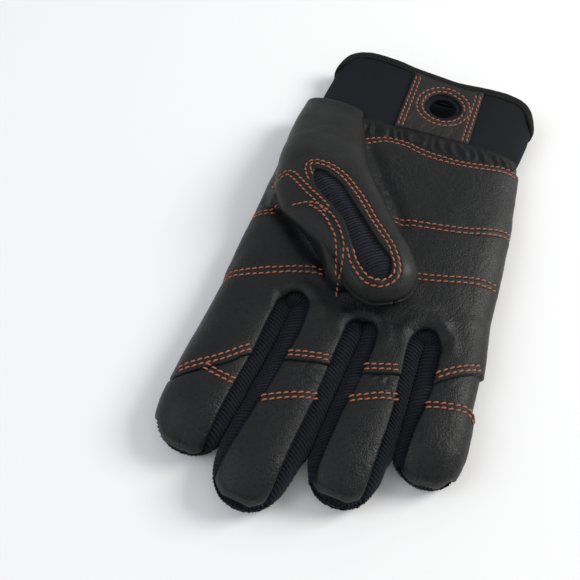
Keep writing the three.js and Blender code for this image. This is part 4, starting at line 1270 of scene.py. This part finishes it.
def tapePiece():
    count, edgeTurns = binding["steps"], np.linspace(0, 2 * math.pi, binding["turns"])
    turns, girth = evenTurns(edgePoints(edgeTurns), edgeTurns, count)
    line = edgePoints(turns)
    y = line[:, 1]
    around = cuffPoint(turns + 0.004, y) - cuffPoint(turns - 0.004, y)
    way = unit(np.cross(around, cuffPoint(turns, y + 0.2) - cuffPoint(turns, y - 0.2)))
    for _ in range(8):
        way[1:-1] = (way[:-2] + way[1:-1] + way[2:]) / 3
        way[0] = way[-1] = (way[1] + way[-2]) / 2
    way = unit(way)
    tangent = np.roll(line, -1, axis=0) - np.roll(line, 1, axis=0)
    tangent[0] = tangent[-1] = line[1] - line[-2]
    out = unit(np.cross(way, tangent))
    section = tapeSection()
    place = np.arange(count) * girth / (count - 1)
    relief = cuffRelief(line[:, 0], y)
    rows = []
    for off, up in section:
        across = np.full(count, off)
        groove = math.exp(-((off + binding["wide"] - 1.4) / 0.35) ** 2)
        pressed = groove * np.cos(place * 2 * math.pi / binding["stitch"])
        pucker = noise(place, across, 3.0, 66) + noise(place, across, 12, 67)
        rise = up + binding["pressed"] * pressed + binding["pucker"] * pucker * (1 if up > -0.5 else 0.3)
        rows.append(line + out * off + way * (rise + relief)[:, None])
    flat = np.stack(np.broadcast_arrays(place[None, :], runOf(section)[:, None]), axis=2)
    piece = laidGrid("edge_tape", np.array(rows), flat)
    work = bmesh.new()
    work.from_mesh(piece.data)
    bmesh.ops.remove_doubles(work, verts=work.verts, dist=2e-6)
    work.to_mesh(piece.data)
    work.free()
    finished(piece, tape, "binding", "cuff_binding")


tapePiece()

# The leather patch round the clip-in hole.
patch = {"thick": 1.5, "thin": 0.2, "edge": 1.0, "seamDeep": 0.3, "columns": (-9.6, -7.4, 22.5, 24.7),
         "wider": 2.2, "rings": (10.6, 13.3)}  # columns and rings: its rows of stitches


def patchRoom(x, y):
    below = shortOfEdge(x, y) - cuff["tape"] + 0.4
    side = (cuff["patchWidth"] + patch["wider"]) / 2 - np.abs(x - cuff["patchX"] + patch["wider"] / 2)
    hole = np.hypot(x - cuff["patchX"], y - cuff["holeY"]) - cuff["leatherHole"]
    return np.minimum.reduce([below, side, hole, y - hand["length"] - 0.3])


def patchPlan():
    rows = []
    for x in patch["columns"]:
        top = float(edgeY(np.array(x))) - cuff["tape"] - 1.2
        rows.append(np.array([[x, y] for y in np.arange(hand["length"] + 1.5, top, 0.5)]))
    for radius in patch["rings"]:
        turns = np.linspace(0, 2 * math.pi, int(2 * math.pi * radius / 0.5))
        ring = radius * np.stack([np.cos(turns), np.sin(turns)], axis=1)
        rows.append(np.array([cuff["patchX"], cuff["holeY"]]) + ring)
    return rows


patchRows = patchPlan()
patchDents = seamMap(patchRows, (-25, 45), (95, 165))


def patchSurface(x, y):
    return np.stack([x, y, cuffTop(x, y) + cuffRelief(x, y)], axis=-1)


def patchLift(x, y):
    grain = 0.18 * noise(x, y, 11, 71) + 0.1 * noise(x, y, 5, 72) + 0.22 * creases(x, y, 4.5, 3.0, 80, 73)
    lift = rolled(patchRoom(x, y), patch["thick"], patch["thin"], patch["edge"])
    return lift + grain - patch["seamDeep"] * patchDents(x, y)


def patchShape(x, y):
    way = normals(patchSurface, x, y)
    return patchSurface(x, y) + way * patchLift(x, y)[..., None], way


patchPiece = cutSheet("patch_leather", (-12, 29), (106, 158), 0.4, patchRoom, patchShape, skirt=1.2)
finished(patchPiece, patched, "leather", "clip_patch")


# The ribbed back panel, under the hand. top is the height where it meets the sides, off is its height past
# the hand's outline and last the share along a finger where it ends.
backPanel = {"top": 4.4, "off": 9, "last": 1.011, "step": 0.5}


def backZ(x, y):
    share, high = palmShare(x, y), palmSize(y)[2]
    z = hand["belly"] * high * (1 - crown(share, hand["palmSide"], hand["backRound"]))
    z = np.where(share > 1, backPanel["off"], z)
    for finger in fingers.values():
        along, lateral = fingerPlace(finger, x, y)
        half, high, low = fingerSize(finger, np.clip(along, hand["fingerFrom"], backPanel["last"]))
        share = np.abs(lateral) / half
        own = low + hand["belly"] * high * (1 - crown(share, hand["fingerSide"], hand["backRound"]))
        off = (share > 1) | (along < hand["fingerFrom"]) | (along > hand["fingerTo"])
        z = np.minimum(z, np.where(off, backPanel["off"], own))
    return z


def backSurface(x, y):
    return np.stack([x, y, np.minimum(backZ(x, y), backPanel["top"])], axis=-1)


def backInside(x, y):
    return np.minimum((backPanel["top"] - backZ(x, y)) * 0.35, hand["length"] + 0.3 - y)


def backShape(x, y):
    way = -normals(backSurface, x, y, 0.2)
    low = smoothstep(3.6, 2.0, backZ(x, y))
    lift = wall["ribHigh"] * (ribs(x + 0.3 * noise(x, y, 12, 95)) - 0.5) * low
    return backSurface(x, y) + way * lift[..., None] + np.array([0, 0, 0.3]) * low[..., None], way


backPiece = cutSheet("ribbed_back", (-60, 60), (-90, 109), backPanel["step"], backInside, backShape,
                     skirt=0.3)
finished(backPiece, knit, "knit", "back_knit")


# The stitches: short plump twists of thread that dip into the leather at both ends.
stitch = {"length": 2.45, "gap": 0.38, "thick": 0.36, "hump": 0.16, "dip": 0.5, "slant": 11.0,
          "onLeather": 1.35, "onThumb": 0.1}


def stitchForm():  # rings of six round a straight axis: share along, share of the thickness, angle
    ends = [(-1.0, 0.0), (-0.86, 0.62), (-0.45, 0.98), (0.0, 1.0), (0.45, 0.98), (0.86, 0.62), (1.0, 0.0)]
    verts, faces = [], []
    for k, (t, r) in enumerate(ends):
        for j in range(6 if 0 < k < 6 else 1):
            verts.append((t, r, 2 * math.pi * j / 6))
    for j in range(6):
        n = (j + 1) % 6
        faces.append((0, 1 + n, 1 + j))
        for k in range(4):
            a = 1 + 6 * k
            faces.append((a + j, a + n, a + 6 + n, a + 6 + j))
        faces.append((25 + j, 25 + n, 31))
    return np.array(verts), faces


def sewn(name, runs):  # runs: lines of points on the surface with their normals
    form, formFaces = stitchForm()
    t, r, turn = form[:, 0], form[:, 1] * stitch["thick"], form[:, 2]
    height = stitch["hump"] - stitch["dip"] * np.abs(t) ** 3
    pitch = stitch["length"] + stitch["gap"]
    points, flat, faces = [], [], []
    for n, (line, ways) in enumerate(runs):
        run = runOf(line)
        for k in range(int((run[-1] + stitch["gap"]) / pitch)):
            at = (k + 0.5) * pitch
            wobble = latticeHash(np.array([k, k + 500, k + 900]), np.array([n, n, n]), len(name))
            up = unit(atRun(ways, run, at))
            ahead = atRun(line, run, at + 0.6) - atRun(line, run, at - 0.6)
            ahead = unit(ahead - up * ahead.dot(up))
            side = np.cross(up, ahead)
            lean = math.radians(stitch["slant"] + 4 * wobble[0])
            way = ahead * math.cos(lean) + side * math.sin(lean)
            half = stitch["length"] / 2 * (1 + 0.05 * wobble[1])
            middle = atRun(line, run, at) + side * 0.08 * wobble[2]
            faces += [tuple(len(points) * len(form) + i for i in face) for face in formFaces]
            points.append(middle + np.outer(t * half, way) + np.outer(height + r * np.cos(turn) * 0.9, up)
                          + np.outer(r * np.sin(turn) * 1.05, np.cross(up, way)))
            flat.append(np.stack([t * half + at, turn * stitch["thick"]], axis=1))
    mesh = bpy.data.meshes.new(name)
    mesh.from_pydata(np.vstack(points).tolist(), [], faces)
    piece = bpy.data.objects.new(name, mesh)
    bpy.context.scene.collection.objects.link(piece)
    setShape(piece, np.vstack(points), np.vstack(flat))
    work = bmesh.new()
    work.from_mesh(mesh)
    bmesh.ops.recalc_face_normals(work, faces=work.faces)
    work.to_mesh(mesh)
    work.free()
    finished(piece, orangeThread)


def onHand(row, lift):  # a row of stitches laid on the hand's leather
    return laid(*row.T, leatherRelief(*row.T) + lift)


def treeOf(pieces):  # the pieces' surfaces together, to lay stitches on
    verts, faces = [], []
    for piece in pieces:
        base = len(verts)
        verts += [vert.co.copy() for vert in piece.data.vertices]
        faces += [[base + i for i in face.vertices] for face in piece.data.polygons]
    return BVHTree.FromPolygons(verts, faces)


def laidOn(tree, row, lift):  # a row of plan points dropped onto surfaces from above, small jumps evened out
    points, ways = [], []
    for x, y in row:
        start = Vector((np.array([x, y, 80.0]) + handOrigin) / 1000)
        place, way, _, _ = tree.ray_cast(start, Vector((0, 0, -1)))
        if place is not None:
            points.append(np.array(place) * 1000 - handOrigin)
            ways.append(np.array(way) if way.z > 0 else -np.array(way))
    points, ways = np.array(points), np.array(ways)
    for _ in range(6):
        points[1:-1, 2] = (points[:-2, 2] + points[1:-1, 2] * 2 + points[2:, 2]) / 4
        ways[1:-1] = (ways[:-2] + ways[1:-1] + ways[2:]) / 3
    ways = unit(ways)
    return points + ways * lift, ways


palmNames = ["wrist", "heel", "centre", "indexRoot"]
otherNames = [name for name in handSeams if name not in palmNames]
for pieceName, names in (("palm_stitches", palmNames), ("finger_stitches", otherNames)):
    sewn(pieceName, [onHand(row, stitch["onLeather"]) for name in names for row in handSeams[name]["rows"]])
foldTree = treeOf([thumbLeather, webLeather, palmOverlay, palmLeather])
sewn("thumb_stitches", [laidOn(foldTree, row, stitch["onThumb"]) for row in windowRows + foldRows])
sewn("clip_stitches", [patchShape(*row.T) for row in patchRows])


# Floor, sky and lights: places and sizes in metres. The high window light from the right draws the grain.
stage = {"floor": "#fafafa", "size": 4.0, "height": -0.0005, "sky": "#f4f5f7", "skyPower": 0.54}
lights = {"window light": {"at": (1.0, 0.6, 0.85), "size": 0.6, "power": 15, "colour": "#fffdf8"},
          "side light": {"at": (-0.9, -0.5, 1.0), "size": 0.9, "power": 5, "colour": "#eef3ff"}}

bpy.ops.object.select_all(action="DESELECT")
bpy.ops.mesh.primitive_plane_add(size=stage["size"], location=(0, 0, stage["height"]))
floor = bpy.context.object
floor.name = "floor"
floorPaper = newMaterial("matte white paper")
paper = node(floorPaper, "ShaderNodeBsdfPrincipled", in_Roughness=0.9, in_Base_Color=linear(stage["floor"]))
node(floorPaper, "ShaderNodeOutputMaterial", [(paper.outputs[0], "Surface")])
floor.data.materials.append(floorPaper)

for name, settings in lights.items():
    light = bpy.data.lights.new(name, "AREA")
    light.shape = "SQUARE"
    light.size = settings["size"]
    light.energy = settings["power"]
    light.color = linear(settings["colour"])[:3]
    lamp = bpy.data.objects.new(name, light)
    bpy.context.scene.collection.objects.link(lamp)
    lamp.location = settings["at"]
    lamp.rotation_euler = (-Vector(settings["at"])).to_track_quat("-Z", "Y").to_euler()

world = bpy.data.worlds.new("studio")
bpy.context.scene.world = world
world.use_nodes = True
world.node_tree.nodes["Background"].inputs[0].default_value = linear(stage["sky"])
world.node_tree.nodes["Background"].inputs[1].default_value = stage["skyPower"]
bpy.context.scene.view_settings.view_transform = "Standard"
print("stage and lights placed")

# The camera: degrees round from the front and up, metres away, and the place in the hand that it looks at.
cameraPlace = {"azimuth": 20.0, "elevation": 57.0, "distance": 0.312, "field": 45.0,
               "aim": (-30.0, 10.0, 0.0)}
turn, tilt = math.radians(cameraPlace["azimuth"]), math.radians(cameraPlace["elevation"])
back = Vector((math.sin(turn) * math.cos(tilt), -math.cos(turn) * math.cos(tilt), math.sin(tilt)))
camera = bpy.data.cameras.new("camera")
camera.angle = math.radians(cameraPlace["field"])
camera.clip_start = 0.01
view = bpy.data.objects.new("camera", camera)
bpy.context.scene.collection.objects.link(view)
view.location = Vector((np.array(cameraPlace["aim"]) + handOrigin) / 1000) + back * cameraPlace["distance"]
view.rotation_mode = "QUATERNION"
view.rotation_quaternion = (-back).to_track_quat("-Z", "Y")
bpy.context.scene.camera = view
